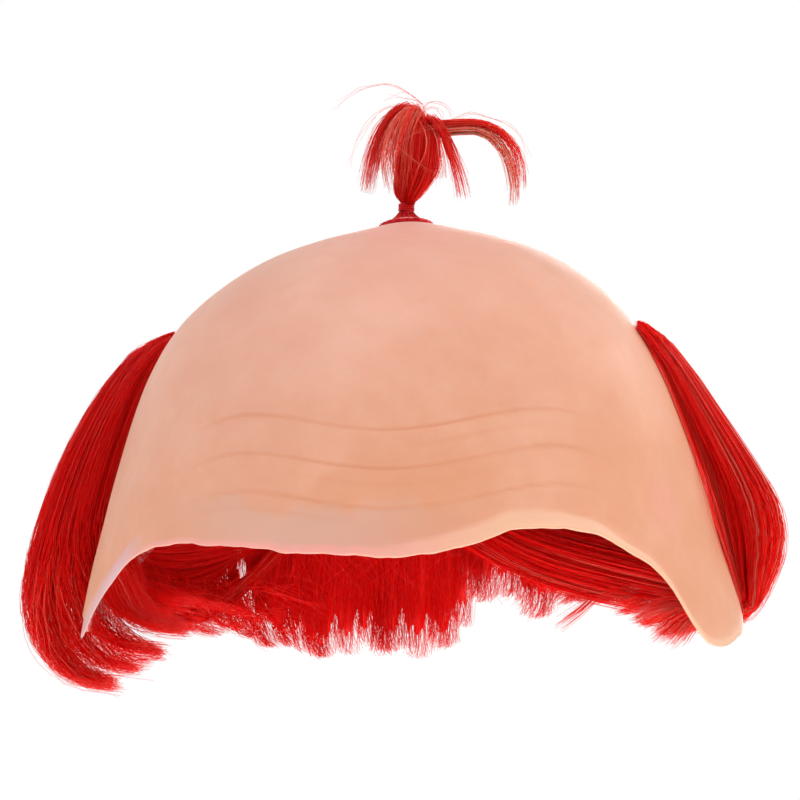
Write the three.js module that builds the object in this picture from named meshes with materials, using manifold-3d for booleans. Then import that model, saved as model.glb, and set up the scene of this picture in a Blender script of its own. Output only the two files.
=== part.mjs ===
// A costume bald cap: a thin moulded latex crown with a wrinkled forehead and two temple tabs, a horseshoe
// fringe of synthetic hair on a sewn weft round its sides and back, and a tied plume of the same hair on a
// coiled patch at the top.
//
// Millimetres, +Z up. The wearer faces -Y, and +X is on the right of someone who looks at the forehead.
// The origin is the point inside the crown that rests on the top of the head.
// A bearing is in degrees round the crown: 0 at the forehead, 90 at +X, 180 at the back.
// A depth is measured down from the crown's outer top. An out is measured level, away from its outer skin.

import * as THREE from "three";
import { mergeVertices } from "three/addons/utils/BufferGeometryUtils.js";
import Module from "manifold-3d";

const wasm = await Module();
wasm.setup();

const WALL = 1.5; // latex
const SEAT_GAP = 0.3; // between pieces that touch on the real cap

// The crown's level sections: how far the soft top leans to the side, and reach to the sides, the front and
// the back. The rows below the latex edge carry the same bell on down, for the hair that hangs round it.
const CROWN_SECTIONS = [
  { depth: 0, lean: 2.5, side: 0, front: 0, back: 0 },
  { depth: 2, lean: 2.5, side: 12.5, front: 12.5, back: 12.5 },
  { depth: 5, lean: 2.2, side: 26, front: 26, back: 27 },
  { depth: 10, lean: 1.6, side: 41, front: 41, back: 42 },
  { depth: 20, lean: 0.6, side: 58, front: 58, back: 59 },
  { depth: 30, lean: 0.1, side: 68.5, front: 68, back: 69 },
  { depth: 45, lean: 0, side: 78.5, front: 78, back: 79 },
  { depth: 60, lean: 0, side: 84.5, front: 85, back: 86 },
  { depth: 80, lean: 0, side: 91, front: 91, back: 92 },
  { depth: 100, lean: 0, side: 96, front: 95, back: 96 },
  { depth: 118, lean: 0, side: 101, front: 98, back: 98 },
  { depth: 134, lean: 0, side: 104, front: 100, back: 99 },
  { depth: 150, lean: 0, side: 106, front: 101, back: 100 },
];

// The trimmed lower edge: a wavy brow, a long tab at each temple, and a higher cut behind the ears and nape.
const CROWN_EDGE = [
  { bearing: -180, depth: 80 },
  { bearing: -150, depth: 80 },
  { bearing: -125, depth: 90 },
  { bearing: -112, depth: 104 },
  { bearing: -100, depth: 120 },
  { bearing: -88, depth: 127 },
  { bearing: -77, depth: 129.5 },
  { bearing: -69, depth: 120 },
  { bearing: -58, depth: 104.5 },
  { bearing: -47, depth: 96.5 },
  { bearing: -30, depth: 95.5 },
  { bearing: -15, depth: 97.5 },
  { bearing: 0, depth: 99 },
  { bearing: 8, depth: 99 },
  { bearing: 16, depth: 96.5 },
  { bearing: 24, depth: 93 },
  { bearing: 34, depth: 93 },
  { bearing: 43, depth: 97 },
  { bearing: 50, depth: 103 },
  { bearing: 55, depth: 110 },
  { bearing: 61, depth: 125 },
  { bearing: 67, depth: 130.5 },
  { bearing: 76, depth: 129.5 },
  { bearing: 90, depth: 124 },
  { bearing: 104, depth: 112 },
  { bearing: 116, depth: 98 },
  { bearing: 130, depth: 88 },
  { bearing: 150, depth: 80 },
  { bearing: 180, depth: 80 },
];

// Three moulded brow wrinkles, each a shallow M with drooping ends.
const WRINKLES = { count: 3, depth: 61, pitch: 11, centre: 3.5, period: 60, wave: 2.6, reach: 46, droop: 3 };
const WRINKLE_GROOVE = 0.6;
const WRINKLE_CREST = 0.25;
const WRINKLE_HALF_WIDTH = 2.2;

// The brow's lower margin turns out into a soft lip, widest to the right of its middle.
const LIP = { bearing: 22, spread: 34, height: 6, flare: 1.8 };
// A soft fold where the right tab leaves the brow.
const TEMPLE_FOLD = { bearing: 47, spread: 5, depth: 94, height: 11, dent: 1.2 };

const CROWN_COLUMNS = 78;
const CROWN_TOP_SHARES = [0.012, 0.05, 0.11, 0.2, 0.32, 0.45];
const CROWN_LOW_SHARES = [0.94, 0.97, 1];
const CROWN_INNER_SHARES = [1, 0.93, 0.78, 0.6, 0.42, 0.26, 0.14, 0.05];

// The fringe by bearing: depth of its roots and of its lowest hair, how far it puffs out from the latex, how
// far its ends curl in under the edge, and how far it sweeps round on the way down.
const FRINGE = [
  { bearing: 86, root: 36, end: 126, puff: 20, curl: 1, sweep: 9 },
  { bearing: 108, root: 37, end: 129, puff: 20, curl: 9, sweep: 7 },
  { bearing: 125, root: 38, end: 132, puff: 20, curl: 13, sweep: 6 },
  { bearing: 143, root: 39, end: 124, puff: 20, curl: 15, sweep: 5 },
  { bearing: 155, root: 40, end: 127, puff: 20, curl: 13, sweep: 2 },
  { bearing: 167, root: 41, end: 121, puff: 20, curl: 12, sweep: 1 },
  { bearing: 176, root: 42, end: 139, puff: 20, curl: 10, sweep: 0 },
  { bearing: 200, root: 41, end: 141, puff: 21, curl: 12, sweep: 0 },
  { bearing: 215, root: 39, end: 136, puff: 22, curl: 15, sweep: -3 },
  { bearing: 233, root: 37, end: 131, puff: 23, curl: 14, sweep: -5 },
  { bearing: 250, root: 36, end: 138, puff: 25, curl: 9, sweep: -4 },
  { bearing: 269, root: 35, end: 146, puff: 25, curl: 8, sweep: 0 },
];
const FRINGE_LOCKS = 24;
const FRINGE_UNEVEN = 3; // how much neighbouring locks differ in length

// A lock of the fringe from root to tip: share of its drop, of its puff at the outer face, of its width, and
// of its inward curl.
const LOCK_STATIONS = [
  { drop: 0, puff: 0.28, width: 0.46, curl: 0 },
  { drop: 0.08, puff: 0.45, width: 0.78, curl: 0 },
  { drop: 0.24, puff: 0.65, width: 1, curl: 0 },
  { drop: 0.42, puff: 0.86, width: 1.05, curl: 0 },
  { drop: 0.6, puff: 1, width: 1.05, curl: 0 },
  { drop: 0.76, puff: 0.86, width: 1, curl: 0 },
  { drop: 0.9, puff: 0.52, width: 0.96, curl: 0.03 },
  { drop: 0.985, puff: 0.36, width: 0.84, curl: 0.45 },
  { drop: 1, puff: 0.16, width: 0.45, curl: 1 },
];
const LOCK_WIDTH = 15.5;
const LOCK_SIDES = 8;
const LOCK_CLEAR = 1.3; // from the latex to a lock's inner face

// The weft and the packed inner hair under the locks: share of the drop, and how far out it fills the puff.
const BACKING = { inside: 0.8, first: 85, last: 270, stations: 30 };
const BACKING_STATIONS = [
  { drop: -0.03, fill: 0.09 },
  { drop: 0.06, fill: 0.3 },
  { drop: 0.14, fill: 0.36 },
  { drop: 0.26, fill: 0.42 },
  { drop: 0.45, fill: 0.55 },
  { drop: 0.6, fill: 0.55 },
  { drop: 0.74, fill: 0.16 },
];

// The topknot stands a little behind the crown's top, and its plume leans to the side.
const TOPKNOT = { side: 1, back: 8, lean: 6 };
const PATCH_COLUMNS = 20;
const PATCH_INNER_RADIUS = 4;
const PATCH_HEIGHT = 2.9;
// The coiled weft of the patch, from its rim to the middle: radius and height above the latex.
const PATCH_COILS = [
  { radius: 8.4, height: 0.8 },
  { radius: 7.7, height: 1.5 },
  { radius: 6.9, height: 1.1 },
  { radius: 6.1, height: 2 },
  { radius: 5.2, height: 1.6 },
  { radius: 4.3, height: 2.5 },
  { radius: 3.4, height: 2.1 },
  { radius: 2.6, height: 2.3 },
];

const PLUME_SIDES = 12;
// The bound neck and the swelling above it: height above the patch and radius.
const PLUME_CORE = [
  { height: 0, radius: 1.9 },
  { height: 3.6, radius: 1.9 },
  { height: 4.4, radius: 3.6 },
  { height: 7.2, radius: 5.9 },
  { height: 10, radius: 7.1 },
  { height: 13, radius: 8 },
  { height: 17, radius: 8.6 },
  { height: 22, radius: 8.2 },
  { height: 27, radius: 6.8 },
  { height: 31, radius: 4.2 },
  { height: 33, radius: 0 },
];
// The locks that fountain out of it: bearing, height of the crest and of the tip above the patch, and reach.
const PLUME_LOCKS = [
  { bearing: -88, crest: 33.5, reach: 12.5, tip: 6, width: 10 },
  { bearing: -50, crest: 32.5, reach: 9.5, tip: 11, width: 8 },
  { bearing: -15, crest: 33, reach: 10.5, tip: 5, width: 8 },
  { bearing: 70, crest: 29.5, reach: 19.5, tip: 5, width: 8.5 },
  { bearing: 96, crest: 31, reach: 35, tip: 5.5, width: 9.5 },
  { bearing: 150, crest: 30, reach: 13, tip: 12, width: 8 },
  { bearing: -138, crest: 31, reach: 12, tip: 13, width: 8 },
];
// Their arc beyond the swelling: share of the reach, and of the height from tip to crest.
const PLUME_ARC = [
  { out: 0.45, height: 0.98 },
  { out: 0.72, height: 0.88 },
  { out: 0.92, height: 0.58 },
  { out: 1, height: 0.3 },
  { out: 0.99, height: 0 },
];
const PLUME_LOCK_START = 8;
const PLUME_SWELL = 4; // how far a lock keeps to the swelling before it leaves it
const PLUME_LOCK_THICKNESS = 0.6; // of a lock's width
const PLUME_LOCK_STATIONS = 8;
const PLUME_LOCK_SIDES = 7;

const TIE = { low: 0.3, turns: 3, wire: 0.5, sides: 16, wireSides: 6 };

const { degToRad, lerp, smoothstep, euclideanModulo } = THREE.MathUtils;

// One column of a table at a place along another: a cubic through the rows, each row's slope taken from the
// rows beside it.
function along(table, key, column, at) {
  const last = table.length - 1;
  let low = 0;
  while (low < last - 1 && table[low + 1][key] < at) low += 1;
  const slopeAt = (row) => {
    const before = table[Math.max(row - 1, 0)];
    const after = table[Math.min(row + 1, last)];
    return (after[column] - before[column]) / (after[key] - before[key]);
  };
  const span = table[low + 1][key] - table[low][key];
  const t = (at - table[low][key]) / span;
  const rise = t * t * (3 - 2 * t);
  return (
    lerp(table[low][column], table[low + 1][column], rise) +
    span * t * (1 - t) * ((1 - t) * slopeAt(low) - t * slopeAt(low + 1))
  );
}

const bell = (distance, spread) => Math.exp(-((distance / spread) ** 2));
const wrapped = (bearing) => euclideanModulo(bearing + 180, 360) - 180;
const edgeDepth = (bearing) => along(CROWN_EDGE, "bearing", "depth", wrapped(bearing));

// The sections are read along the square root of the depth, in which a rounded top is a straight line.
const ROOTED_SECTIONS = CROWN_SECTIONS.map((row) => ({ ...row, root: Math.sqrt(row.depth) }));
const sectionAt = (column, depth) => along(ROOTED_SECTIONS, "root", column, Math.sqrt(depth));

// How far the brow's lip and the temple fold push the skin out or in.
function skinShift(bearing, depth) {
  const turn = wrapped(bearing);
  const toEdge = Math.max(edgeDepth(turn) - depth, 0);
  const lip = LIP.flare * bell(turn - LIP.bearing, LIP.spread) * (1 - smoothstep(toEdge, 0, LIP.height));
  const beside = bell(turn - TEMPLE_FOLD.bearing, TEMPLE_FOLD.spread);
  return lip - TEMPLE_FOLD.dent * beside * bell(depth - TEMPLE_FOLD.depth, TEMPLE_FOLD.height);
}

// A point of the crown's outer skin, or one that lies a level distance out from it.
function crownPoint(bearing, depth, out = 0) {
  const turn = degToRad(bearing);
  const shift = depth > 0 ? out + skinShift(bearing, depth) : 0;
  const ahead = Math.cos(turn) > 0 ? "front" : "back";
  return new THREE.Vector3(
    sectionAt("lean", depth) + (sectionAt("side", depth) + shift) * Math.sin(turn),
    -(sectionAt(ahead, depth) + shift) * Math.cos(turn),
    WALL - depth,
  );
}

function crownNormal(bearing, depth) {
  const step = 0.05;
  const down = crownPoint(bearing, depth + step).sub(crownPoint(bearing, depth - step));
  const round = crownPoint(bearing + step, depth).sub(crownPoint(bearing - step, depth));
  return down.cross(round).normalize();
}

// Height of the crown's outer skin above a point of its plan near the top.
function crownHeight(x, y) {
  let shallow = 0;
  let deep = CROWN_SECTIONS[3].depth;
  for (let halving = 0; halving < 40; halving += 1) {
    const middle = (shallow + deep) / 2;
    const across = (x - sectionAt("lean", middle)) / sectionAt("side", middle);
    const ahead = y / sectionAt(y < 0 ? "front" : "back", middle);
    if (Math.hypot(across, ahead) > 1) shallow = middle;
    else deep = middle;
  }
  return WALL - shallow;
}

// A closed skin over rings of points that run round the same way. A ring of one point is a pole.
function skinRings(rings) {
  const points = rings.flat();
  const starts = [];
  rings.reduce((start, ring) => {
    starts.push(start);
    return start + ring.length;
  }, 0);
  const faces = [];
  for (let row = 0; row + 1 < rings.length; row += 1) {
    const [upper, lower] = [rings[row], rings[row + 1]];
    const sides = Math.max(upper.length, lower.length);
    for (let side = 0; side < sides; side += 1) {
      const next = (side + 1) % sides;
      const top = (i) => starts[row] + (upper.length > 1 ? i : 0);
      const bottom = (i) => starts[row + 1] + (lower.length > 1 ? i : 0);
      if (lower.length > 1) faces.push(top(side), bottom(side), bottom(next));
      if (upper.length > 1) faces.push(top(side), bottom(next), top(next));
    }
  }
  const geometry = new THREE.BufferGeometry().setFromPoints(points);
  geometry.setIndex(faces);
  return geometry;
}

function solidOf(geometry) {
  const bare = new THREE.BufferGeometry();
  bare.setAttribute("position", geometry.getAttribute("position"));
  bare.setIndex(geometry.index);
  const merged = mergeVertices(bare);
  const mesh = new wasm.Mesh({
    numProp: 3,
    vertProperties: merged.getAttribute("position").array,
    triVerts: new Uint32Array(merged.index.array),
  });
  return new wasm.Manifold(mesh);
}

// Several closed geometries that overlap, fused into one.
function fuse(geometries) {
  const solid = geometries.map(solidOf).reduce((whole, piece) => whole.add(piece));
  const { numProp, vertProperties, triVerts } = solid.getMesh();
  const geometry = new THREE.BufferGeometry();
  geometry.setAttribute("position", new THREE.BufferAttribute(vertProperties, numProp));
  geometry.setIndex(new THREE.BufferAttribute(triVerts, 1));
  return geometry;
}

// A lock of hair: elliptical sections at right angles to a path, flat side outwards, closed at both ends.
function lockGeometry(stations, sides) {
  const path = new THREE.CatmullRomCurve3(stations.map((station) => station.point));
  const rings = stations.map((station, i) => {
    const ahead = path.getTangent(i / (stations.length - 1));
    const outward = station.outward.clone().addScaledVector(ahead, -ahead.dot(station.outward)).normalize();
    const across = new THREE.Vector3().crossVectors(ahead, outward);
    return Array.from({ length: sides }, (_, side) => {
      const turn = (2 * Math.PI * side) / sides;
      return station.point
        .clone()
        .addScaledVector(across, (station.width / 2) * Math.cos(turn))
        .addScaledVector(outward, (station.thickness / 2) * Math.sin(turn));
    });
  });
  return skinRings([[stations[0].point], ...rings, [stations.at(-1).point]]);
}

function wrinkleDepth(index, bearing) {
  const turn = wrapped(bearing) - WRINKLES.centre;
  const beyondPeak = Math.max(Math.abs(turn) - WRINKLES.period / 2, 0) / (WRINKLES.period / 4);
  const wave = WRINKLES.wave * Math.cos((2 * Math.PI * turn) / WRINKLES.period);
  return WRINKLES.depth + index * WRINKLES.pitch + wave + WRINKLES.droop * beyondPeak ** 2;
}

const fromBrow = (bearing) => Math.abs(wrapped(bearing) - WRINKLES.centre);
const wrinkleFade = (bearing) => 1 - smoothstep(fromBrow(bearing), 0.7 * WRINKLES.reach, WRINKLES.reach);

// The rows of the outer skin. Over the brow, three rows follow each wrinkle: crest, groove and crest.
function crownRows() {
  const plain = (share) => ({
    depthAt: (bearing) => share * edgeDepth(bearing),
    relief: 0,
  });
  const brow = [];
  for (let index = 0; index < WRINKLES.count; index += 1) {
    for (const side of [-1, 0, 1]) {
      const middle = (index * WRINKLES.pitch + WRINKLES.depth + side * WRINKLE_HALF_WIDTH) / edgeDepth(0);
      brow.push({
        depthAt: (bearing) =>
          lerp(
            wrinkleDepth(index, bearing) + side * WRINKLE_HALF_WIDTH,
            middle * edgeDepth(bearing),
            smoothstep(fromBrow(bearing), WRINKLES.reach - 4, WRINKLES.reach + 14),
          ),
        relief: side === 0 ? -WRINKLE_GROOVE : WRINKLE_CREST,
      });
    }
  }
  return [...CROWN_TOP_SHARES.map(plain), ...brow, ...CROWN_LOW_SHARES.map(plain)];
}

function latexCrown() {
  const bearings = Array.from({ length: CROWN_COLUMNS }, (_, column) => (360 * column) / CROWN_COLUMNS);
  const outer = crownRows().map((row) =>
    bearings.map((bearing) => {
      const depth = row.depthAt(bearing);
      const relief = row.relief * wrinkleFade(bearing);
      return crownPoint(bearing, depth).addScaledVector(crownNormal(bearing, depth), relief);
    }),
  );
  const inner = CROWN_INNER_SHARES.map((share) =>
    bearings.map((bearing) => {
      const depth = share * edgeDepth(bearing);
      return crownPoint(bearing, depth).addScaledVector(crownNormal(bearing, depth), -WALL);
    }),
  );
  const top = crownPoint(0, 0);
  const insideTop = top.clone().setZ(0);
  return skinRings([[top], ...outer, ...inner, [insideTop]]);
}

function fringeAt(bearing) {
  const row = {};
  for (const column of ["root", "end", "puff", "curl", "sweep"]) {
    row[column] = along(FRINGE, "bearing", column, bearing);
  }
  return row;
}

function fringeLock(index) {
  const [first, last] = [FRINGE[0].bearing, FRINGE.at(-1).bearing];
  const bearing = lerp(first, last, index / (FRINGE_LOCKS - 1));
  const { root, end, puff, curl, sweep } = fringeAt(bearing);
  const lowest = end - FRINGE_UNEVEN * (index % 2) + FRINGE_UNEVEN * Math.sin(2.4 * index) * 0.5;
  const stations = LOCK_STATIONS.map((station) => {
    const depth = lerp(root, lowest, station.drop);
    const outerFace = station.puff * puff;
    const thickness = Math.max(outerFace - LOCK_CLEAR, 2);
    const out = LOCK_CLEAR + thickness / 2 - station.curl * (curl + thickness / 2);
    const swept = bearing + sweep * station.drop;
    const point = crownPoint(swept, depth, out);
    return {
      point,
      outward: crownPoint(swept, depth, out + 1).sub(point),
      width: LOCK_WIDTH * station.width,
      thickness,
    };
  });
  return lockGeometry(stations, LOCK_SIDES);
}

// The sewn weft and the packed inner hair below it, which carry the locks.
function fringeBacking() {
  const sections = Array.from({ length: BACKING.stations }, (_, station) => {
    const bearing = lerp(BACKING.first, BACKING.last, station / (BACKING.stations - 1));
    const { root, end, puff, sweep } = fringeAt(bearing);
    const outerFace = BACKING_STATIONS.map(({ drop, fill }) =>
      crownPoint(bearing + sweep * drop, lerp(root, end, drop), BACKING.inside + fill * puff),
    );
    const innerFace = BACKING_STATIONS.map(({ drop }) =>
      crownPoint(bearing + sweep * drop, lerp(root, end, drop), BACKING.inside),
    );
    return [...innerFace, ...outerFace.reverse()];
  });
  const middleOf = (ring) =>
    ring.reduce((sum, point) => sum.add(point), new THREE.Vector3()).divideScalar(ring.length);
  return skinRings([[middleOf(sections[0])], ...sections, [middleOf(sections.at(-1))]]);
}

function hairFringe() {
  const locks = Array.from({ length: FRINGE_LOCKS }, (_, index) => fringeLock(index));
  return fuse([fringeBacking(), ...locks]);
}

// Level of the middle of the patch, where the plume is bound.
const PATCH_TOP = crownHeight(TOPKNOT.side, TOPKNOT.back) + SEAT_GAP + PATCH_HEIGHT;

// The patch's coils follow the slope of the crown under them.
function topknotPatch() {
  const ring = (radius, height) =>
    Array.from({ length: PATCH_COLUMNS }, (_, column) => {
      const turn = (2 * Math.PI * column) / PATCH_COLUMNS;
      const x = TOPKNOT.side + radius * Math.sin(turn);
      const y = TOPKNOT.back - radius * Math.cos(turn);
      return new THREE.Vector3(x, y, crownHeight(x, y) + SEAT_GAP + height);
    });
  const middle = (height) => [new THREE.Vector3(TOPKNOT.side, TOPKNOT.back, height)];
  const top = [...PATCH_COILS].reverse().map((coil) => ring(coil.radius, coil.height));
  const rim = PATCH_COILS[0].radius;
  const underside = [ring(rim, 0), ring(PATCH_INNER_RADIUS, 0)];
  return skinRings([middle(PATCH_TOP), ...top, ...underside, middle(PATCH_TOP - PATCH_HEIGHT)]);
}

// A turned profile of radius and height, about the topknot's axis.
function turned(profile, sides) {
  const points = profile.map(({ radius, height }) => new THREE.Vector2(radius, height));
  return new THREE.LatheGeometry(points, sides).rotateX(Math.PI / 2);
}

function plumeLock({ bearing, crest, reach, tip, width }) {
  const turn = degToRad(bearing);
  const away = new THREE.Vector3(Math.sin(turn), -Math.cos(turn), 0);
  const at = (out, height) => away.clone().multiplyScalar(out).setZ(height);
  const path = new THREE.CatmullRomCurve3([
    at(0, PLUME_LOCK_START),
    at(Math.min(0.3 * reach, PLUME_SWELL), lerp(PLUME_LOCK_START, crest, 0.6)),
    ...PLUME_ARC.map(({ out, height }) => at(out * reach, lerp(tip, crest, height))),
  ]);
  const stations = Array.from({ length: PLUME_LOCK_STATIONS }, (_, i) => {
    const share = i / (PLUME_LOCK_STATIONS - 1);
    const ahead = path.getTangentAt(share);
    const sideways = new THREE.Vector3(-away.y, away.x, 0);
    const spread = width * (0.35 + 0.65 * Math.sin(Math.PI * Math.min(share + 0.1, 0.93)));
    return {
      point: path.getPointAt(share),
      outward: new THREE.Vector3().crossVectors(sideways, ahead),
      width: spread,
      thickness: PLUME_LOCK_THICKNESS * spread,
    };
  });
  return lockGeometry(stations, PLUME_LOCK_SIDES);
}

function topknotPlume() {
  const core = [{ height: 0, radius: 0 }, ...PLUME_CORE];
  return fuse([turned(core, PLUME_SIDES), ...PLUME_LOCKS.map(plumeLock)]);
}

// Turns of red thread laid side by side round the neck, pressed into one band with a ridge for each turn.
function topknotTie() {
  const neck = PLUME_CORE[0].radius + SEAT_GAP;
  const profile = [{ radius: neck, height: TIE.low }];
  for (let turn = 0; turn < TIE.turns; turn += 1) {
    for (let step = 1; step < TIE.wireSides / 2; step += 1) {
      const round = (Math.PI * step) / (TIE.wireSides / 2);
      profile.push({
        radius: neck + TIE.wire * (0.4 + 0.6 * Math.sin(round)),
        height: TIE.low + TIE.wire * (2 * turn + 1 - Math.cos(round)),
      });
    }
  }
  profile.push({ radius: neck, height: TIE.low + 2 * TIE.wire * TIE.turns });
  profile.push(profile[0]);
  return turned(profile, TIE.sides);
}

const latex = () => new THREE.MeshStandardMaterial({ color: 0xefb293, roughness: 0.5, metalness: 0 });
const redHair = () => new THREE.MeshStandardMaterial({ color: 0xb90d0c, roughness: 0.4, metalness: 0 });
const redThread = () => new THREE.MeshStandardMaterial({ color: 0x960808, roughness: 0.7, metalness: 0 });

function named(name, geometry, material) {
  const mesh = new THREE.Mesh(geometry, material);
  mesh.name = name;
  return mesh;
}

const topknot = new THREE.Group();
const lean = degToRad(TOPKNOT.lean);
const leanLift = PLUME_CORE[0].radius * Math.sin(lean);
topknot.position.set(TOPKNOT.side, TOPKNOT.back, PATCH_TOP + SEAT_GAP + leanLift);
topknot.rotation.y = lean;
topknot.add(named("topknot_plume", topknotPlume(), redHair()));
topknot.add(named("topknot_tie", topknotTie(), redThread()));

const baldCap = new THREE.Group();
baldCap.add(named("latex_crown", latexCrown(), latex()));
baldCap.add(named("hair_fringe", hairFringe(), redHair()));
baldCap.add(named("topknot_patch", topknotPatch(), redThread()));
baldCap.add(topknot);

export default baldCap;
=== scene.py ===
"""Dresses the bald cap: a moulded latex crown, a fringe of red fibre hair round its sides and back,
and a tied topknot.

Lengths in the tables are millimetres, in the part's own frame: the forehead faces -Y and the origin
is where the crown rests on the head. A bearing is in degrees, 0 at the forehead and 90 at +X. A depth
is measured down from the top of the crown, and an out is measured away from the crown's face."""

import math

import bpy
import numpy as np
from mathutils import Matrix


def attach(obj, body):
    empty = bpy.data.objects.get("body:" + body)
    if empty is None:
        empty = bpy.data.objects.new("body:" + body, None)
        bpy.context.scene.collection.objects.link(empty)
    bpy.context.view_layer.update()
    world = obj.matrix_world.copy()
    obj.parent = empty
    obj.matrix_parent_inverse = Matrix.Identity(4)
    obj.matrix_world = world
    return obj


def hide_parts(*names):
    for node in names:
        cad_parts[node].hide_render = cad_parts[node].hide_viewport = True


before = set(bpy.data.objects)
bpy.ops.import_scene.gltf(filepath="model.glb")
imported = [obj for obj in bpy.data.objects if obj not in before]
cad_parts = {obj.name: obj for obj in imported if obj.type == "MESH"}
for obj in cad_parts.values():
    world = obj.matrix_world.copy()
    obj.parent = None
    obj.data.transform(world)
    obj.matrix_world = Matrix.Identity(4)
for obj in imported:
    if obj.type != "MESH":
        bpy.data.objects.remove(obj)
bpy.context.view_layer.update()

MM = 0.001
draw = np.random.default_rng(23)


# tables of the cap

def table(columns, *rows):
    """A table with named columns, one array for each."""
    return dict(zip(columns.split(), np.array(rows, dtype=float).T))


WALL = 1.5
SEAT_GAP = 0.3

CROWN_SECTIONS = table(
    "depth lean side front back",
    (0, 2.5, 0, 0, 0), (2, 2.5, 12.5, 12.5, 12.5), (5, 2.2, 26, 26, 27), (10, 1.6, 41, 41, 42),
    (20, 0.6, 58, 58, 59), (30, 0.1, 68.5, 68, 69), (45, 0, 78.5, 78, 79), (60, 0, 84.5, 85, 86),
    (80, 0, 91, 91, 92), (100, 0, 96, 95, 96), (118, 0, 101, 98, 98), (134, 0, 104, 100, 99),
    (150, 0, 106, 101, 100))
CROWN_SECTIONS["root"] = np.sqrt(CROWN_SECTIONS["depth"])

CROWN_EDGE = table(
    "bearing depth",
    (-180, 80), (-150, 80), (-125, 90), (-112, 104), (-100, 120), (-88, 127), (-77, 129.5),
    (-69, 120), (-58, 104.5), (-47, 96.5), (-30, 95.5), (-15, 97.5), (0, 99), (8, 99), (16, 96.5),
    (24, 93), (34, 93), (43, 97), (50, 103), (55, 110), (61, 125), (67, 130.5), (76, 129.5),
    (90, 124), (104, 112), (116, 98), (130, 88), (150, 80), (180, 80))

LIP = {"bearing": 22, "spread": 34, "height": 6, "flare": 1.8}
TEMPLE_FOLD = {"bearing": 47, "spread": 5, "depth": 94, "height": 11, "dent": 1.2}

# brow wrinkles: each line waves across the brow and droops at its ends
WRINKLES = {"count": 3, "depth": 61, "pitch": 11, "centre": 3.5, "period": 60, "wave": 2.6,
            "reach": 46, "droop": 3, "droop_from": 30, "droop_span": 15}

# shallow dents and swells that a thin unlined shell settles into
DENTS = table(
    "bearing spread depth height amount",
    (-62, 16, 22, 9, -0.9), (-38, 14, 31, 7, -0.7), (-25, 18, 16, 5, 0.4), (55, 20, 26, 9, -0.5),
    (20, 22, 47, 8, -0.35), (-66, 9, 66, 14, -0.8), (58, 8, 74, 16, 0.7), (66, 7, 100, 15, -0.9),
    (-80, 8, 104, 14, 0.6), (140, 24, 40, 12, -0.7), (-140, 22, 32, 11, 0.6), (178, 26, 55, 9, -0.5))

# width of the pale, thin margin along the trimmed edge
MARGIN = table(
    "bearing width",
    (-180, 3), (-100, 2), (-80, 1), (-50, 1.2), (-35, 1.2), (-20, 2), (0, 3), (12, 4.6), (25, 5.4),
    (38, 4.2), (48, 2.8), (60, 2.4), (90, 3), (180, 3))

# the left tab's edge is skived: the cut goes through the tint to the cool latex of the inner face
SKIVE = {"first": -92, "last": -49, "ease": 9, "width": 6.4, "dent": 0.6}

# where the brow's tint was wiped thin above the margin, and greyer latex shows through
BARE = {"bearing": -12, "spread": 24, "height": 12}

# where the latex is flushed at the root of the right tab
BLUSH = {"bearing": 60, "spread": 5, "depth": 88, "height": 9}

FRINGE = table(
    "bearing root puff curl sweep",
    (86, 36, 20, 1, 9), (108, 37, 20, 9, 7), (125, 38, 20, 13, 6), (143, 39, 20, 15, 5),
    (155, 40, 20, 13, 2), (167, 41, 20, 12, 1), (176, 42, 20, 10, 0), (200, 41, 21, 12, 0),
    (215, 39, 22, 15, -3), (233, 37, 23, 14, -5), (250, 36, 25, 9, -4), (269, 35, 25, 8, 0))
FRINGE_FIRST, FRINGE_LAST = 86, 269
FRINGE_BEYOND = 4           # degrees past its two ends that the table is still read
LOCK_CLEAR = 1.3

# how a lock runs: its way down, the share of its puff there and of its curl inwards
LOCK_STATIONS = table(
    "way drop puff curl",
    (0, 0, 0.28, 0), (0.07, 0.08, 0.45, 0), (0.2, 0.24, 0.65, 0), (0.36, 0.42, 0.86, 0),
    (0.52, 0.6, 1, 0), (0.67, 0.76, 0.86, 0), (0.8, 0.9, 0.52, 0.03), (0.91, 0.985, 0.36, 0.45),
    (1, 1, 0.16, 1))

TOPKNOT = {"side": 1.0, "back": 8.0, "lean": math.radians(6)}
PATCH_HEIGHT = 2.9

# the outline of the plume's bulb
PLUME_BULB = table(
    "height radius",
    (0, 1.9), (3.6, 1.9), (4.4, 3.6), (7.2, 5.9), (10, 7.1), (13, 8), (17, 8.6), (22, 8.2),
    (27, 6.8), (31, 4.2), (33, 0.2))
NECK_RADIUS = 1.9


# the cap's own measures

def along(rows, key, column, at):
    """A column's value between a table's rows, on a smooth curve through them."""
    place, value = rows[key], rows[column]
    slope = np.empty_like(value)
    slope[1:-1] = (value[2:] - value[:-2]) / (place[2:] - place[:-2])
    slope[0] = (value[1] - value[0]) / (place[1] - place[0])
    slope[-1] = (value[-1] - value[-2]) / (place[-1] - place[-2])
    low = np.clip(np.searchsorted(place, at) - 1, 0, len(place) - 2)
    span = place[low + 1] - place[low]
    share = (at - place[low]) / span
    eased = value[low] + (value[low + 1] - value[low]) * share * share * (3 - 2 * share)
    return eased + span * share * (1 - share) * ((1 - share) * slope[low] - share * slope[low + 1])


def smooth(value, low, high):
    """0 below low, 1 above high, and an eased step between."""
    share = np.clip((value - low) / (high - low), 0, 1)
    return share * share * (3 - 2 * share)


def bell(distance, spread):
    return np.exp(-((distance / spread) ** 2))


def wrapped(bearing):
    return np.mod(np.asarray(bearing, dtype=float) + 180, 360) - 180


def unit(vectors):
    return vectors / np.maximum(np.linalg.norm(vectors, axis=-1, keepdims=True), 1e-9)


def section(column, depth):
    return along(CROWN_SECTIONS, "root", column, np.sqrt(np.maximum(depth, 0)))


def edge_depth(bearing):
    return along(CROWN_EDGE, "bearing", "depth", wrapped(bearing))


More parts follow.
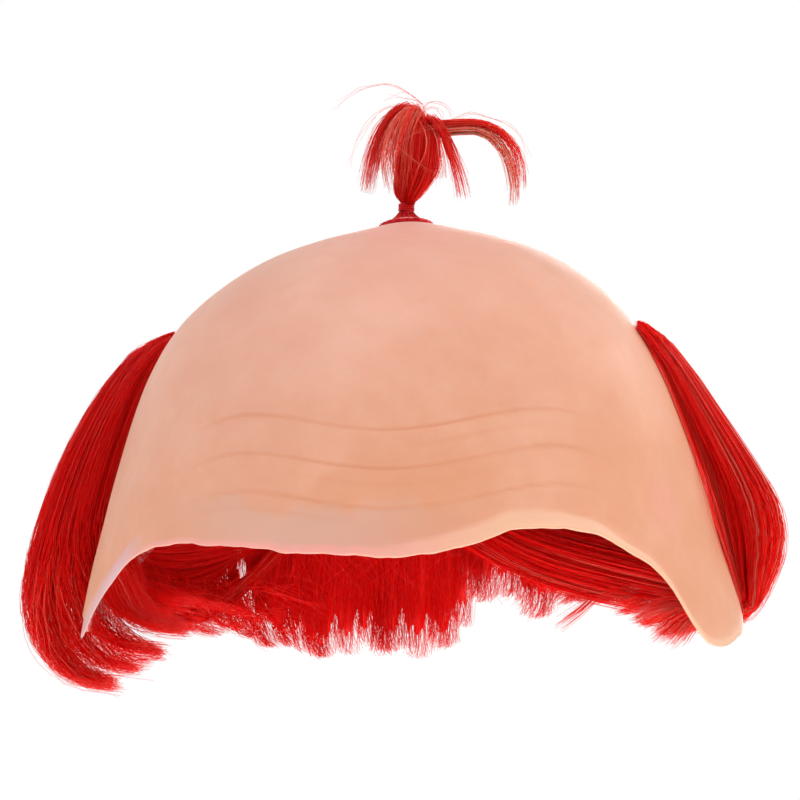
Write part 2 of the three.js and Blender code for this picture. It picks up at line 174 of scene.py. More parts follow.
def skin_shift(bearing, depth):
    """How far the lip above the brow flares out and the fold at the temple goes in."""
    turn = wrapped(bearing)
    near_edge = 1 - smooth(np.maximum(edge_depth(bearing) - depth, 0), 0, LIP["height"])
    lip = LIP["flare"] * bell(turn - LIP["bearing"], LIP["spread"]) * near_edge
    fold = bell(turn - TEMPLE_FOLD["bearing"], TEMPLE_FOLD["spread"])
    return lip - TEMPLE_FOLD["dent"] * fold * bell(depth - TEMPLE_FOLD["depth"], TEMPLE_FOLD["height"])


def crown_point(bearing, depth, out=0.0):
    """A point at a bearing and a depth, some way out from the crown's level section."""
    bearing, depth, out = np.broadcast_arrays(bearing, depth, out)
    turn = np.radians(bearing)
    reach = np.where(np.cos(turn) > 0, section("front", depth), section("back", depth))
    return np.stack([section("lean", depth) + (section("side", depth) + out) * np.sin(turn),
                     -(reach + out) * np.cos(turn), WALL - depth], axis=-1)


def crown_face(bearing, depth):
    return crown_point(bearing, depth, skin_shift(bearing, depth))


def crown_normal(bearing, depth):
    step = 0.05
    safe = np.maximum(depth, 4 * step)
    round_it = crown_face(bearing + step, safe) - crown_face(bearing - step, safe)
    down_it = crown_face(bearing, safe + step) - crown_face(bearing, safe - step)
    return unit(np.cross(down_it, round_it))


SEARCH_DEPTH, SEARCH_HALVINGS = 60.0, 40


def crown_height(x, y):
    """The height of the crown's face over a point near its top, found by halving."""
    low, high = np.zeros_like(x), np.full_like(x, SEARCH_DEPTH)
    for _ in range(SEARCH_HALVINGS):
        middle = (low + high) / 2
        reach = np.where(y < 0, section("front", middle), section("back", middle))
        inside = ((x - section("lean", middle)) / section("side", middle)) ** 2 + (y / reach) ** 2 < 1
        low, high = np.where(inside, low, middle), np.where(inside, middle, high)
    return WALL - low


def fringe(column, bearing):
    return along(FRINGE, "bearing", column,
                 np.clip(bearing, FRINGE_FIRST - FRINGE_BEYOND, FRINGE_LAST + FRINGE_BEYOND))


PATCH_FOOT = float(crown_height(np.array(TOPKNOT["side"]), np.array(TOPKNOT["back"]))) + SEAT_GAP
PLUME_FOOT = np.array([TOPKNOT["side"], TOPKNOT["back"],
                       PATCH_FOOT + PATCH_HEIGHT + SEAT_GAP + NECK_RADIUS * math.sin(TOPKNOT["lean"])])


def on_topknot(points):
    """Points of the plume, which stands upright in its own frame, as they lean on the crown."""
    c, s = math.cos(TOPKNOT["lean"]), math.sin(TOPKNOT["lean"])
    return points @ np.array([[c, 0, -s], [0, 1, 0], [s, 0, c]]) + PLUME_FOOT


# materials

def linear(code):
    """An sRGB hex colour as linear red, green, blue and alpha."""
    parts = [int(code[i:i + 2], 16) / 255 for i in (1, 3, 5)]
    return [p / 12.92 if p <= 0.04045 else ((p + 0.055) / 1.055) ** 2.4 for p in parts] + [1.0]


def per_mm(size):
    """The texture scale, in object metres, at which one feature is about this many millimetres."""
    return 1 / (size * MM)


def add_node(tree, kind, settings=None):
    """Adds a node. A setting is one of its inputs, by name or number, or one of its options. An input
    that is given another node's output is linked to it."""
    made = tree.nodes.new("ShaderNode" + kind)
    for name, value in (settings or {}).items():
        if isinstance(value, bpy.types.NodeSocket):
            tree.links.new(value, made.inputs[name])
        elif isinstance(name, int) or name in made.inputs:
            made.inputs[name].default_value = value
        elif name == "stops":
            ramp = made.color_ramp.elements
            while len(ramp) < len(value):
                ramp.new(1.0)
            for element, (place, code) in zip(ramp, value):
                element.position, element.color = place, linear(code)
        else:
            setattr(made, name, value)
    return made


def new_material(name):
    """An empty material, its nodes and the place of each point in its object."""
    material = bpy.data.materials.new(name)
    material.use_nodes = True
    tree = material.node_tree
    tree.nodes.clear()
    return material, tree, add_node(tree, "TexCoord").outputs["Object"]


def close_material(material, shader):
    add_node(material.node_tree, "OutputMaterial", {"Surface": shader.outputs[0]})
    return material


COLOUR_A, COLOUR_B, COLOUR_OUT = 6, 7, 2      # a Mix node's colour sockets


def moulded_latex():
    """Natural rubber latex, slush moulded and tinted: peach with uneven pigment, pinker and lighter at the
    top left with partly painted light, painted shade in its creases, a satin skin that the light sinks a
    little way into, and a paler, thinner margin where it was trimmed."""
    material, tree, place = new_material("moulded_latex")
    # the tint goes from pink at the top left to amber at the lower right; the pink is lighter, partly
    # painted light falling from the upper left
    slant = add_node(tree, "VectorMath",
                     {"operation": "DOT_PRODUCT", 0: place, 1: (0.7, 0.0, -2.9)})
    warm = add_node(tree, "MapRange",
                    {"From Min": -0.08, "From Max": 0.26, "Value": slant.outputs["Value"]})
    pigment = add_node(tree, "TexNoise",
                       {"Scale": per_mm(26), "Detail": 4.0, "Roughness": 0.6, "Vector": place})
    pink, amber = (
        add_node(tree, "ValToRGB", {"stops": stops, "Fac": pigment.outputs["Fac"]})
        for stops in ([(0.34, "#DDAA9A"), (0.52, "#DFAFA0"), (0.68, "#E2B5A7")],
                      [(0.34, "#DB9974"), (0.52, "#DE9E7A"), (0.68, "#E1A584")]))
    blotch = add_node(tree, "TexNoise",
                      {"Scale": per_mm(6), "Detail": 3.0, "Roughness": 0.55, "Vector": place})
    blotches = add_node(tree, "MapRange", {"From Min": 0.52, "From Max": 0.75, "To Max": 0.22,
                                                     "Value": blotch.outputs["Fac"]})
    split = add_node(tree, "SeparateXYZ", {"Vector": place})
    rightward = add_node(tree, "MapRange",
                         {"From Min": -0.01, "From Max": 0.035, "Value": split.outputs["X"]})
    pale = add_node(tree, "Mix",
                    {"data_type": "RGBA", 0: rightward.outputs["Result"], COLOUR_A: linear("#E6A498"),
                     COLOUR_B: linear("#E8B898")})
    on_mesh = {name: add_node(tree, "Attribute", {"attribute_name": name}).outputs["Fac"]
               for name in ("bare", "crease", "blush", "margin", "skived")}
    # each tint lies over those before it, as thick as its share
    tint = pink.outputs["Color"]
    # the crease tint is painted shade, a darker orange in the wrinkles' grooves
    for share, over in ((warm.outputs["Result"], amber.outputs["Color"]),
                        (blotches.outputs["Result"], linear("#DC9878")),
                        (on_mesh["bare"], linear("#D0AA9C")), (on_mesh["crease"], linear("#D89068")),
                        (on_mesh["blush"], linear("#E89C90")),
                        (on_mesh["margin"], pale.outputs[COLOUR_OUT]),
                        (on_mesh["skived"], linear("#D6ABAE"))):
        tint = add_node(tree, "Mix", {"data_type": "RGBA", 0: share, COLOUR_A: tint,
                                                COLOUR_B: over}).outputs[COLOUR_OUT]
    pores = add_node(tree, "TexNoise",
                     {"Scale": per_mm(1.1), "Detail": 3.0, "Roughness": 0.6, "Vector": place})
    grain = add_node(tree, "Bump",
                     {"Strength": 0.35, "Distance": 0.12 * MM, "Height": pores.outputs["Fac"]})
    satin = add_node(tree, "MapRange",
                     {"To Min": 0.4, "To Max": 0.6, "Value": blotch.outputs["Fac"]})
    shader = add_node(tree, "BsdfPrincipled",
                      {"IOR": 1.52, "Subsurface Weight": 0.35, "Subsurface Radius": (1.0, 0.42, 0.26),
                       "Subsurface Scale": 2.5 * MM, "Specular IOR Level": 0.4, "Base Color": tint,
                       "Roughness": satin.outputs["Result"], "Normal": grain.outputs["Normal"]})
    return close_material(material, shader)


def powdered_latex():
    """The inner face of the same latex, left unpainted and dusted with talc: cool, pale and dull."""
    material, tree, place = new_material("powdered_latex")
    dust = add_node(tree, "TexNoise",
                    {"Scale": per_mm(9), "Detail": 5.0, "Roughness": 0.65, "Vector": place})
    tint = add_node(tree, "ValToRGB",
                    {"stops": [(0.3, "#D6B8B6"), (0.5, "#DCC0BE"), (0.7, "#E2C8C6")],
                     "Fac": dust.outputs["Fac"]})
    grain = add_node(tree, "Bump",
                     {"Strength": 0.3, "Distance": 0.1 * MM, "Height": dust.outputs["Fac"]})
    shader = add_node(tree, "BsdfPrincipled",
                      {"IOR": 1.52, "Roughness": 0.78, "Subsurface Weight": 0.25,
                       "Subsurface Radius": (1.0, 0.5, 0.35), "Subsurface Scale": 2.0 * MM,
                       "Base Color": tint.outputs["Color"], "Normal": grain.outputs["Normal"]})
    return close_material(material, shader)


def dyed_fibre(name, stops, roughness, scatter):
    """Modacrylic fibre, extruded and dyed in the mass: each strand is one clear red, some lighter
    than others, with a smooth skin that gives a narrow pinkish gloss along the lie of the hair."""
    material, tree, place = new_material(name)
    tone = add_node(tree, "Attribute", {"attribute_name": "tone"})
    dye = add_node(tree, "ValToRGB", {"stops": stops, "Fac": tone.outputs["Fac"]})
    # real fibres are 0.08 mm thick; their fine banding is drawn at 0.8 mm so that it shows
    bands = add_node(tree, "TexNoise", {"Scale": per_mm(0.8), "Detail": 2.0, "Vector": place})
    gloss = add_node(tree, "MapRange", {"To Min": roughness - 0.08, "To Max": roughness + 0.1,
                                                  "Value": bands.outputs["Fac"]})
    shader = add_node(tree, "BsdfPrincipled",
                      {"IOR": 1.5, "Specular IOR Level": 0.42, "Specular Tint": linear("#FFB8AE"),
                       "Subsurface Weight": 0.6, "Subsurface Radius": (1.0, 0.06, 0.05),
                       "Subsurface Scale": scatter * MM, "Base Color": dye.outputs["Color"],
                       "Roughness": gloss.outputs["Result"]})
    return close_material(material, shader)


def spun_thread():
    """Polyester sewing thread, spun and waxed: a pale pinkish red with a fine twist and little gloss."""
    material, tree, place = new_material("spun_thread")
    # the ply's twist is about 0.4 mm long, drawn at 0.7 mm so that it shows
    twist = add_node(tree, "TexWave",
                     {"Scale": per_mm(0.7) / 20, "Distortion": 3.0, "bands_direction": "DIAGONAL",
                      "Vector": place})
    dye = add_node(tree, "ValToRGB",
                   {"stops": [(0.0, "#C8444C"), (0.6, "#E4767A"), (1.0, "#F2A4A4")],
                    "Fac": twist.outputs["Fac"]})
    ply = add_node(tree, "Bump",
                   {"Strength": 0.5, "Distance": 0.1 * MM, "Height": twist.outputs["Fac"]})
    shader = add_node(tree, "BsdfPrincipled",
                      {"IOR": 1.53, "Roughness": 0.62, "Base Color": dye.outputs["Color"],
                       "Normal": ply.outputs["Normal"]})
    return close_material(material, shader)


def painted_board():
    """A board rolled with matt white paint: flat and pale, with a faint roller stipple."""
    material, tree, place = new_material("painted_board")
    stipple = add_node(tree, "TexNoise", {"Scale": per_mm(14), "Detail": 3.0, "Vector": place})
    paint = add_node(tree, "ValToRGB", {"stops": [(0.3, "#F1F1F0"), (0.7, "#F7F7F6")],
                                                  "Fac": stipple.outputs["Fac"]})
    shader = add_node(tree, "BsdfPrincipled",
                      {"Roughness": 0.9, "Base Color": paint.outputs["Color"]})
    return close_material(material, shader)


RED_DYE = [(0.0, "#B80003"), (0.14, "#E20004"), (0.3, "#F60204"), (0.62, "#FF0A06"), (0.85, "#FF3A2A"),
           (1.0, "#FF8270")]
PLUME_DYE = [(0.0, "#DA0206"), (0.3, "#F20808"), (0.6, "#FF3426"), (0.85, "#FF7660"), (1.0, "#FFAE9A")]
WEFT_DYE = [(0.0, "#AC0410"), (0.5, "#D00618"), (1.0, "#F04A48")]
LATEX = moulded_latex()
LATEX_INSIDE = powdered_latex()
HAIR = dyed_fibre("dyed_fibre", RED_DYE, 0.3, 0.6)
PACKED_HAIR = dyed_fibre("packed_fibre", RED_DYE, 0.5, 3.0)
PLUME_HAIR = dyed_fibre("dyed_plume_fibre", PLUME_DYE, 0.36, 0.6)
WEFT = dyed_fibre("sewn_weft", WEFT_DYE, 0.5, 0.6)
THREAD = spun_thread()


# making pieces

def shape_mesh(name, points, quads, triangles, materials, finish=None, measures=None):
    """A mesh object from points in millimetres, with face numbers into the materials and measures
    that its materials read."""
    quads = np.asarray(quads, dtype=np.int32).reshape(-1, 4)
    triangles = np.asarray(triangles, dtype=np.int32).reshape(-1, 3)
    mesh = bpy.data.meshes.new(name)
    mesh.vertices.add(len(points))
    mesh.vertices.foreach_set("co", (np.asarray(points) * MM).astype(np.float32).ravel())
    corners = np.concatenate([quads.ravel(), triangles.ravel()])
    mesh.loops.add(len(corners))
    mesh.loops.foreach_set("vertex_index", corners)
    mesh.polygons.add(len(quads) + len(triangles))
    starts = np.concatenate([np.arange(len(quads)) * 4,
                             len(quads) * 4 + np.arange(len(triangles)) * 3]).astype(np.int32)
    mesh.polygons.foreach_set("loop_start", starts)
    for material in materials:
        mesh.materials.append(material)
    if finish is not None:
        mesh.polygons.foreach_set("material_index", np.asarray(finish, dtype=np.int32))
    mesh.update(calc_edges=True)
    mesh.shade_smooth()
    for key, values in (measures or {}).items():
        held = mesh.attributes.new(key, "FLOAT", "POINT")
        held.data.foreach_set("value", np.asarray(values, dtype=np.float32))
    made = bpy.data.objects.new(name, mesh)
    bpy.context.scene.collection.objects.link(made)
    return made


STRAND_SIDES, THREAD_SIDES, CORD_SIDES = 3, 5, 8


def set_in_place(piece, node):
    """The piece stands for a node of the part and moves with it."""
    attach(piece, "root")
    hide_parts(node)


def tubes(paths, radius, sides, tip):
    """Closed tubes along paths of equal length, thinner towards their tips."""
    count, length, _ = paths.shape
    run = unit(np.gradient(paths, axis=1))
    bend = np.cross(paths[:, length // 2] - paths[:, 0], paths[:, -1] - paths[:, 0])
    aside = unit(unit(bend) + 0.3 * unit(draw.normal(size=(count, 3))))[:, None, :]
    aside = unit(aside - np.sum(aside * run, axis=-1, keepdims=True) * run)
    lift = np.cross(run, aside)
    turn = 2 * np.pi * np.arange(sides) / sides
    thin = 1 - (1 - tip) * smooth(np.linspace(0, 1, length), 0.55, 1)
    size = (np.asarray(radius).reshape(-1, 1) * thin)[:, :, None, None]
    rim = (np.cos(turn)[:, None] * aside[:, :, None, :] + np.sin(turn)[:, None] * lift[:, :, None, :])
    points = (paths[:, :, None, :] + size * rim).reshape(-1, 3)
    first = (np.arange(count) * length * sides)[:, None, None]
    ring = (np.arange(length - 1) * sides)[None, :, None]
    here, there = np.arange(sides), (np.arange(sides) + 1) % sides
    quads = np.stack([first + ring + here, first + ring + there, first + ring + sides + there,
                      first + ring + sides + here], axis=-1).reshape(-1, 4)
    start, end = first[:, :, 0], first[:, :, 0] + (length - 1) * sides
    fan = np.arange(1, sides - 1)
    caps = np.concatenate([
        np.stack([start + 0 * fan, start + fan + 1, start + fan], axis=-1).reshape(-1, 3),
        np.stack([end + 0 * fan, end + fan, end + fan + 1], axis=-1).reshape(-1, 3)])
    return points, quads, caps


# a small gap in the hair of the left hollow, along a line from front to back
PARTING = {"bearing": 221.5, "place": np.array([-61.3, 60, -107.7]),
           "run": np.array([-0.1525, 0.9871, -0.048]), "size": 2.7, "reach": 4.6, "bend": 17}
PARTING_FINE = 8            # places looked at along each part of a fibre, to find where it passes


def parted(paths):
    """Fibres bent aside from the parting, the more the nearer they pass to it."""
    fine = np.linspace(0, paths.shape[1] - 1, PARTING_FINE * paths.shape[1])
    low = np.minimum(fine.astype(int), paths.shape[1] - 2)
    share = (fine - low)[:, None]
    dense = paths[:, low] * (1 - share) + paths[:, low + 1] * share
    away = dense - PARTING["place"]
    off = away - (away @ PARTING["run"])[..., None] * PARTING["run"]
    distance = np.linalg.norm(off, axis=-1)
    pick, near = np.arange(len(paths)), np.argmin(distance, axis=1)
    nearest = distance[pick, near]
    push = PARTING["size"] * np.clip(1 - nearest / PARTING["reach"], 0, 1)
    gap = np.linalg.norm(paths - dense[pick, near][:, None], axis=-1)
    return paths + (push[:, None] * unit(off[pick, near]))[:, None] * bell(gap, PARTING["bend"])[..., None]


STRAND_TIP = 0.45           # share of a fibre's thickness that is left at its tip
ROOT_TONE, ROOT_SHADE = 0.8, 0.35


def strand_piece(name, paths, radius, tone, material=HAIR, node="hair_fringe"):
    """One joined mesh of fibres, each with its own tone, a little darker at its root."""
    paths = parted(paths)
    points, quads, caps = tubes(paths, radius, STRAND_SIDES, STRAND_TIP)
    way = np.linspace(0, 1, paths.shape[1])
    tones = np.clip(tone[:, None] * (ROOT_TONE + (1 - ROOT_TONE) * smooth(way, 0, ROOT_SHADE)), 0, 1)
    made = shape_mesh(name, points, quads, caps, [material],
                      measures={"tone": np.repeat(tones.ravel(), STRAND_SIDES)})
    set_in_place(made, node)


def cord_piece(name, paths, radius, sides, tip, tone, material, node):
    """Round cords or threads along paths, joined in one mesh."""
    points, quads, caps = tubes(paths, radius, sides, tip)
    made = shape_mesh(name, points, quads, caps, [material], measures={"tone": np.full(len(points), tone)})
    set_in_place(made, node)


def curve_through(knots, count):
    """Points at even shares of the length of a smooth curve through knots."""
    reach = np.concatenate([[0], np.cumsum(np.linalg.norm(np.diff(knots, axis=0), axis=1))])
    rows = {"way": reach / reach[-1], "x": knots[:, 0], "y": knots[:, 1], "z": knots[:, 2]}
    way = np.linspace(0, 1, count)
    return np.stack([along(rows, "way", axis, way) for axis in "xyz"], axis=-1)


def cut_ends(fibres, keep, count):
    """Fibres cut to a share of their length, with points evenly spaced along what is left."""
    last = fibres.shape[1] - 1
    reach = keep * np.linspace(0, last, count)
    low = np.clip(reach.astype(int), 0, last - 1)
    share = (reach - low)[..., None]
    pick = np.arange(len(fibres))[:, None]
    return fibres[pick, low] * (1 - share) + fibres[pick, low + 1] * share


def skin_rows(rows, columns, closed):
    """Quads of a grid of points, row by row; a closed grid joins its last column to its first."""
    column = np.arange(columns if closed else columns - 1)
    row = (np.arange(rows - 1) * columns)[:, None]
    there = (column + 1) % columns
    return np.stack([row + column, row + columns + column, row + columns + there, row + there],
                    axis=-1).reshape(-1, 4)


def end_fan(centre, first, columns, flip=False):
    """Triangles between a ring of points, from the first on, and the point at its centre."""
    here = first + np.arange(columns)
    there = first + (np.arange(columns) + 1) % columns
    return np.stack([np.full(columns, centre), *((there, here) if flip else (here, there))], axis=-1)


# latex crown

LATEX_COLUMNS = 320
TOP_ROWS, BROW_ROWS, INNER_ROWS, ROOF_ROWS = 34, 96, 12, 8
TOP_SHARE, ROOF_SHARE = 0.36, 0.2
EDGE_WALL, EDGE_THINNING = 0.45, 9    # share of the wall left at the trimmed edge, and how far up it thins
LEFT_TAB_CUT = 125.0        # depth at which the tip of the left tab is snipped off blunt
GROOVE, GROOVE_WIDTH = 0.27, 0.5
CREST, CREST_PLACE, CREST_WIDTH = 0.17, 1.5, 1.1
TWIN_PLACE, TWIN_WIDTH = 4.6, 0.7     # a fainter crease that comes and goes below each wrinkle
# the first of these is how dark the painted shade in the wrinkles' grooves is
CREASE_SHADE, BARE_TINT, TOP_FLUSH, TAB_FLUSH = 0.68, 0.65, 0.5, 0.4
UNEVEN = 0.16               # how far the soft shell is out of true


def wrinkle_depth(number, turn):
    past = np.maximum(np.abs(turn) - WRINKLES["droop_from"], 0) / WRINKLES["droop_span"]
    wave = WRINKLES["wave"] * np.cos(2 * np.pi * turn / WRINKLES["period"])
    return WRINKLES["depth"] + WRINKLES["pitch"] * number + wave + WRINKLES["droop"] * past ** 2


def brow_wrinkles(bearing, depth):
    """The wrinkles' relief, and the painted shade in their creases: how deep in a crease each point lies."""
    turn = wrapped(bearing) - WRINKLES["centre"]
    fade = 1 - smooth(np.abs(turn), 0.7 * WRINKLES["reach"], WRINKLES["reach"])
    relief, crease = np.zeros_like(depth), np.zeros_like(depth)
    for number in range(WRINKLES["count"]):
        away = depth - wrinkle_depth(number, turn)
        force = fade * (0.8 + 0.2 * np.sin(turn / 7 + 2 * number))
        line = bell(away, GROOVE_WIDTH)
        twin = bell(away - TWIN_PLACE, TWIN_WIDTH) * smooth(np.sin(turn / 13 + 1.7 * number), -0.2, 0.8)
        crests = bell(away - CREST_PLACE, CREST_WIDTH) + 0.7 * bell(away + CREST_PLACE, CREST_WIDTH)
        relief += force * (CREST * crests - GROOVE * line - 0.3 * GROOVE * twin)
        # painted shade in each groove and, fainter, in its twin
        crease += CREASE_SHADE * force * (line + 0.35 * twin)
    return relief, np.clip(crease, 0, 1)


def settled(bearing, depth):
    """Dents, swells and the faint unevenness of a soft shell."""
    relief = np.zeros_like(depth)
    for b, spread, d, height, amount in zip(*DENTS.values()):
        relief += amount * bell(wrapped(bearing - b), spread) * bell(depth - d, height)
    turn = np.radians(bearing)
    uneven = (np.sin(7 * turn + depth / 9) * np.sin(depth / 13 + 1) +
              0.6 * np.sin(13 * turn - depth / 7 + 2) * np.sin(depth / 8))
    return relief + UNEVEN * uneven * smooth(depth, 4, 20)


def latex_crown():
    bearing = np.linspace(-180, 180, LATEX_COLUMNS, endpoint=False)
    turn = np.radians(bearing)
    snipped = (0.22 * np.sin(23 * turn + 1) + 0.14 * np.sin(41 * turn) + 0.1 * np.sin(67 * turn + 2) +
               0.1 * draw.uniform(-1, 1, LATEX_COLUMNS))
    edge = edge_depth(bearing) + snipped
    edge = np.where(bearing < 0, np.minimum(edge, LEFT_TAB_CUT + snipped), edge)
    top = TOP_SHARE * (np.arange(1, TOP_ROWS + 1) / TOP_ROWS) ** 2
    even = np.linspace(0, 1, BROW_ROWS + 1)[1:]
    brow = TOP_SHARE + (1 - TOP_SHARE) * (even + 0.09 * np.sin(2 * np.pi * even))
    outer_share = np.concatenate([top, brow])
    inner_share = np.concatenate([[1, 0.985], np.linspace(0.96, ROOF_SHARE, INNER_ROWS),
                                  ROOF_SHARE * (np.arange(ROOF_ROWS, 0, -1) / (ROOF_ROWS + 1)) ** 2])

    depth = outer_share[:, None] * edge
    around = np.broadcast_to(bearing, depth.shape)
    wrinkles, crease = brow_wrinkles(around, depth)
    to_edge = edge - depth
    cut = (smooth(around, SKIVE["first"], SKIVE["first"] + SKIVE["ease"]) *
           (1 - smooth(around, SKIVE["last"] - SKIVE["ease"], SKIVE["last"])))
    skived = cut * (1 - smooth(to_edge, SKIVE["width"] - 0.8, SKIVE["width"]))
    relief = (wrinkles + settled(around, depth) - SKIVE["dent"] * skived)[..., None]
    outer = crown_face(around, depth) + crown_normal(around, depth) * relief
    width = along(MARGIN, "bearing", "width", around)
    margin = 1 - smooth(to_edge, 0.75 * width, 1.15 * width)
    at_tab = bell(around - BLUSH["bearing"], BLUSH["spread"]) * bell(depth - BLUSH["depth"], BLUSH["height"])
    blush = TOP_FLUSH * bell(depth, 7) * (0.6 + 0.4 * np.cos(2 * turn + 1)) + TAB_FLUSH * at_tab
    ragged = 1.6 * np.sin(9 * turn + 1) + 1.1 * np.sin(23 * turn) + 0.7 * np.sin(53 * turn + 2)
    wiped = smooth(BARE["height"] + ragged - to_edge, -5, 3)
    bare = BARE_TINT * wiped * bell(around - BARE["bearing"], BARE["spread"])

    inner_depth = inner_share[:, None] * edge
    inner_around = np.broadcast_to(bearing, inner_depth.shape)
    wall = WALL * (EDGE_WALL + (1 - EDGE_WALL) * smooth(edge - inner_depth, 0, EDGE_THINNING))
    inner_relief = settled(inner_around, inner_depth) + 0.6 * brow_wrinkles(inner_around, inner_depth)[0]
    inner = (crown_face(inner_around, inner_depth) +
             crown_normal(inner_around, inner_depth) * (inner_relief - wall)[..., None])

    rows = len(outer_share) + len(inner_share)
    lean = CROWN_SECTIONS["lean"][0]
    points = np.concatenate([outer.reshape(-1, 3), inner.reshape(-1, 3),
                             [[lean, 0, WALL], [lean, 0, 0]]])
    crown, roof = rows * LATEX_COLUMNS, rows * LATEX_COLUMNS + 1
    fans = np.concatenate([end_fan(crown, 0, LATEX_COLUMNS),
                           end_fan(roof, (rows - 1) * LATEX_COLUMNS, LATEX_COLUMNS, flip=True)])
    inside = np.repeat(np.arange(rows - 1) >= len(outer_share), LATEX_COLUMNS)
    finish = np.concatenate([inside, np.zeros(LATEX_COLUMNS), np.ones(LATEX_COLUMNS)])
    spare = np.zeros(inner_depth.size + 2)
    measures = {"margin": margin, "skived": skived, "crease": crease, "blush": blush, "bare": bare}
    made = shape_mesh("latex_crown_skin", points, skin_rows(rows, LATEX_COLUMNS, True), fans,
                      [LATEX, LATEX_INSIDE], finish,
                      {name: np.concatenate([values.ravel(), spare]) for name, values in measures.items()})
    set_in_place(made, "latex_crown")


# hair fringe

STRAND_RADIUS = 0.115       # a real fibre's is 0.04 mm; these are as thick as they need to be to show
NEAR_STEPS = np.array([0, 0.012, 0.03, 0.06, 0.11, 0.18, 0.26, 0.35, 0.44, 0.53, 0.62, 0.71, 0.8, 0.88, 0.94,
                       1])
FAR_STEPS = np.array([0, 0.03, 0.09, 0.2, 0.4, 0.6, 0.78, 0.91, 1])
STRAY_STEPS = np.concatenate([[0, 0.012, 0.03], np.linspace(0.06, 0.6, 6), np.linspace(0.68, 1, 9)])
LOW_STEPS = np.linspace(0.55, 1, 12)
ROOT_OUT, ROOT_RISE = 1.5, 4.8
FRINGE_RADIUS = 105         # of the hair round the head, about
HAIR_CLEAR = 0.7            # the nearest fibres lie closer to the latex than the solid locks do
END_ROUNDING = 5.0          # degrees over which the fringe rounds off at its two front ends

# how the hair lies: tips tucked in under the fringe, the inner ones cut higher by a step, with a share of
# the locks' own curl; lift and belly are how much thicker it stands below its roots and lower down
HAIR_LIE = table(
    "bearing tuck step curl lift belly",
    (82, 3, 8, 1, -0.8, 2.4), (98, 8, 10, 1, -1, 2.4), (118, 8, 8, 0.9, -1, 1.5), (140, 3, 6, 0.6, 0, 0),
    (165, 1, 4, 0.2, 1, 0), (190, 0, 4, 0.15, 2, 0), (212, 3, 6, 0.4, 3, 0), (232, 10, 10, 0.9, 4, 0.6),
    (250, 15, 12, 1, 5, 1.6), (273, 16, 12, 1, 5.2, 2))

# the clumps that the tips gather in, from the right front end round the back to the left one: where each
# one stops, how far down its tips hang and how much it gathers
CLUMPS = table(
    "last end gather",
    (91, 126, 0.25), (97, 127, 0.25), (103.5, 129, 0.3), (110, 130, 0.3), (117, 131.5, 0.3), (124, 132, 0.3),
    (131, 130.5, 0.3), (138, 127, 0.25), (144, 124.5, 0.25), (150.5, 126, 0.25), (158, 126.5, 0.25),
    (166, 129, 0.3), (170.5, 121.5, 0.2), (176.5, 124, 0.15), (179, 133, 0.25), (184, 140.5, 0.08),
    (188.3, 141.5, 0.1), (194, 142.5, 0.3), (196.5, 139, 0.2), (200.5, 141, 0.08), (208, 142.5, 0.22),
    (210.5, 137.5, 0.35), (216, 138.5, 0.15), (222, 135.5, 0.3), (227, 133, 0.2), (234, 131.5, 0.3),
    (240.5, 130.5, 0.3), (246.5, 130, 0.35), (253, 129.5, 0.35), (261, 141, 0.35), (280, 145, 0.35))
TIP_ROUNDING = 2.5            # how much higher a clump's tips are cut at its edges than in its middle
CLUMP_STACK, CLUMP_STAGGER = 4, 0.6
STACKING = 0.5
clump_count = len(CLUMPS["last"]) * CLUMP_STACK
clump_out = draw.normal(0, 0.8, clump_count)
clump_uneven = draw.normal(0, 1.3, clump_count)
clump_tone = draw.normal(0, 0.05, clump_count)

# where the locks behind the left tab end, from the innermost layer to the outermost
LEFT_LOCKS = table(
    "layer x y z",
    (-0.5, -74, 10, -123.5), (0.0, -81, 6, -130.5), (0.5, -88.8, 5, -135.5), (2, -97, 4, -140.5))
LEFT_LOCK_FIRST, LEFT_LOCK_FULL = 252, 254.5
LEFT_LOCK_SPREAD = (1.8, 3.0, 0.75)       # along the locks, from front to back and across them
LEFT_LOCK_AXES = np.array([[0.82, 0, -0.57], [0, 1, 0], [0.57, 0, 0.82]])
LEFT_LOCK_PULL = np.array([1, 0.45, 1])


def clump_of(bearing, layer):
    """The clump that a fibre lies in: its row, its place in the stack of layers, its middle, and how
    near its edge the fibre is, from 0 to 1."""
    stack = np.clip(np.floor((layer + 1) / 2 * CLUMP_STACK), 0, CLUMP_STACK - 1).astype(int)
    row = np.searchsorted(CLUMPS["last"], bearing + CLUMP_STAGGER * stack)
    first = np.concatenate([[FRINGE_FIRST], CLUMPS["last"]])
    middle = (first[row] + first[row + 1]) / 2 - CLUMP_STAGGER * stack
    return row, stack, middle, np.clip(np.abs(bearing - middle) / (first[row + 1] - first[row]) * 2, 0, 1)


def fringe_thickness(bearing, way):
    from_end = np.minimum(bearing - FRINGE_FIRST, FRINGE_LAST - bearing)
    rounding = np.sqrt(np.clip(1 - (1 - np.clip(from_end / END_ROUNDING, 0, 1)) ** 2, 0, 1))
    full = fringe("puff", bearing) * along(LOCK_STATIONS, "way", "puff", way) - LOCK_CLEAR
    lift = along(HAIR_LIE, "bearing", "lift", bearing) * bell(way - 0.2, 0.26)
    belly = along(HAIR_LIE, "bearing", "belly", bearing) * bell(way - 0.62, 0.2)
    return (np.maximum(full, 2) + lift + belly) * (0.72 + 0.28 * rounding)


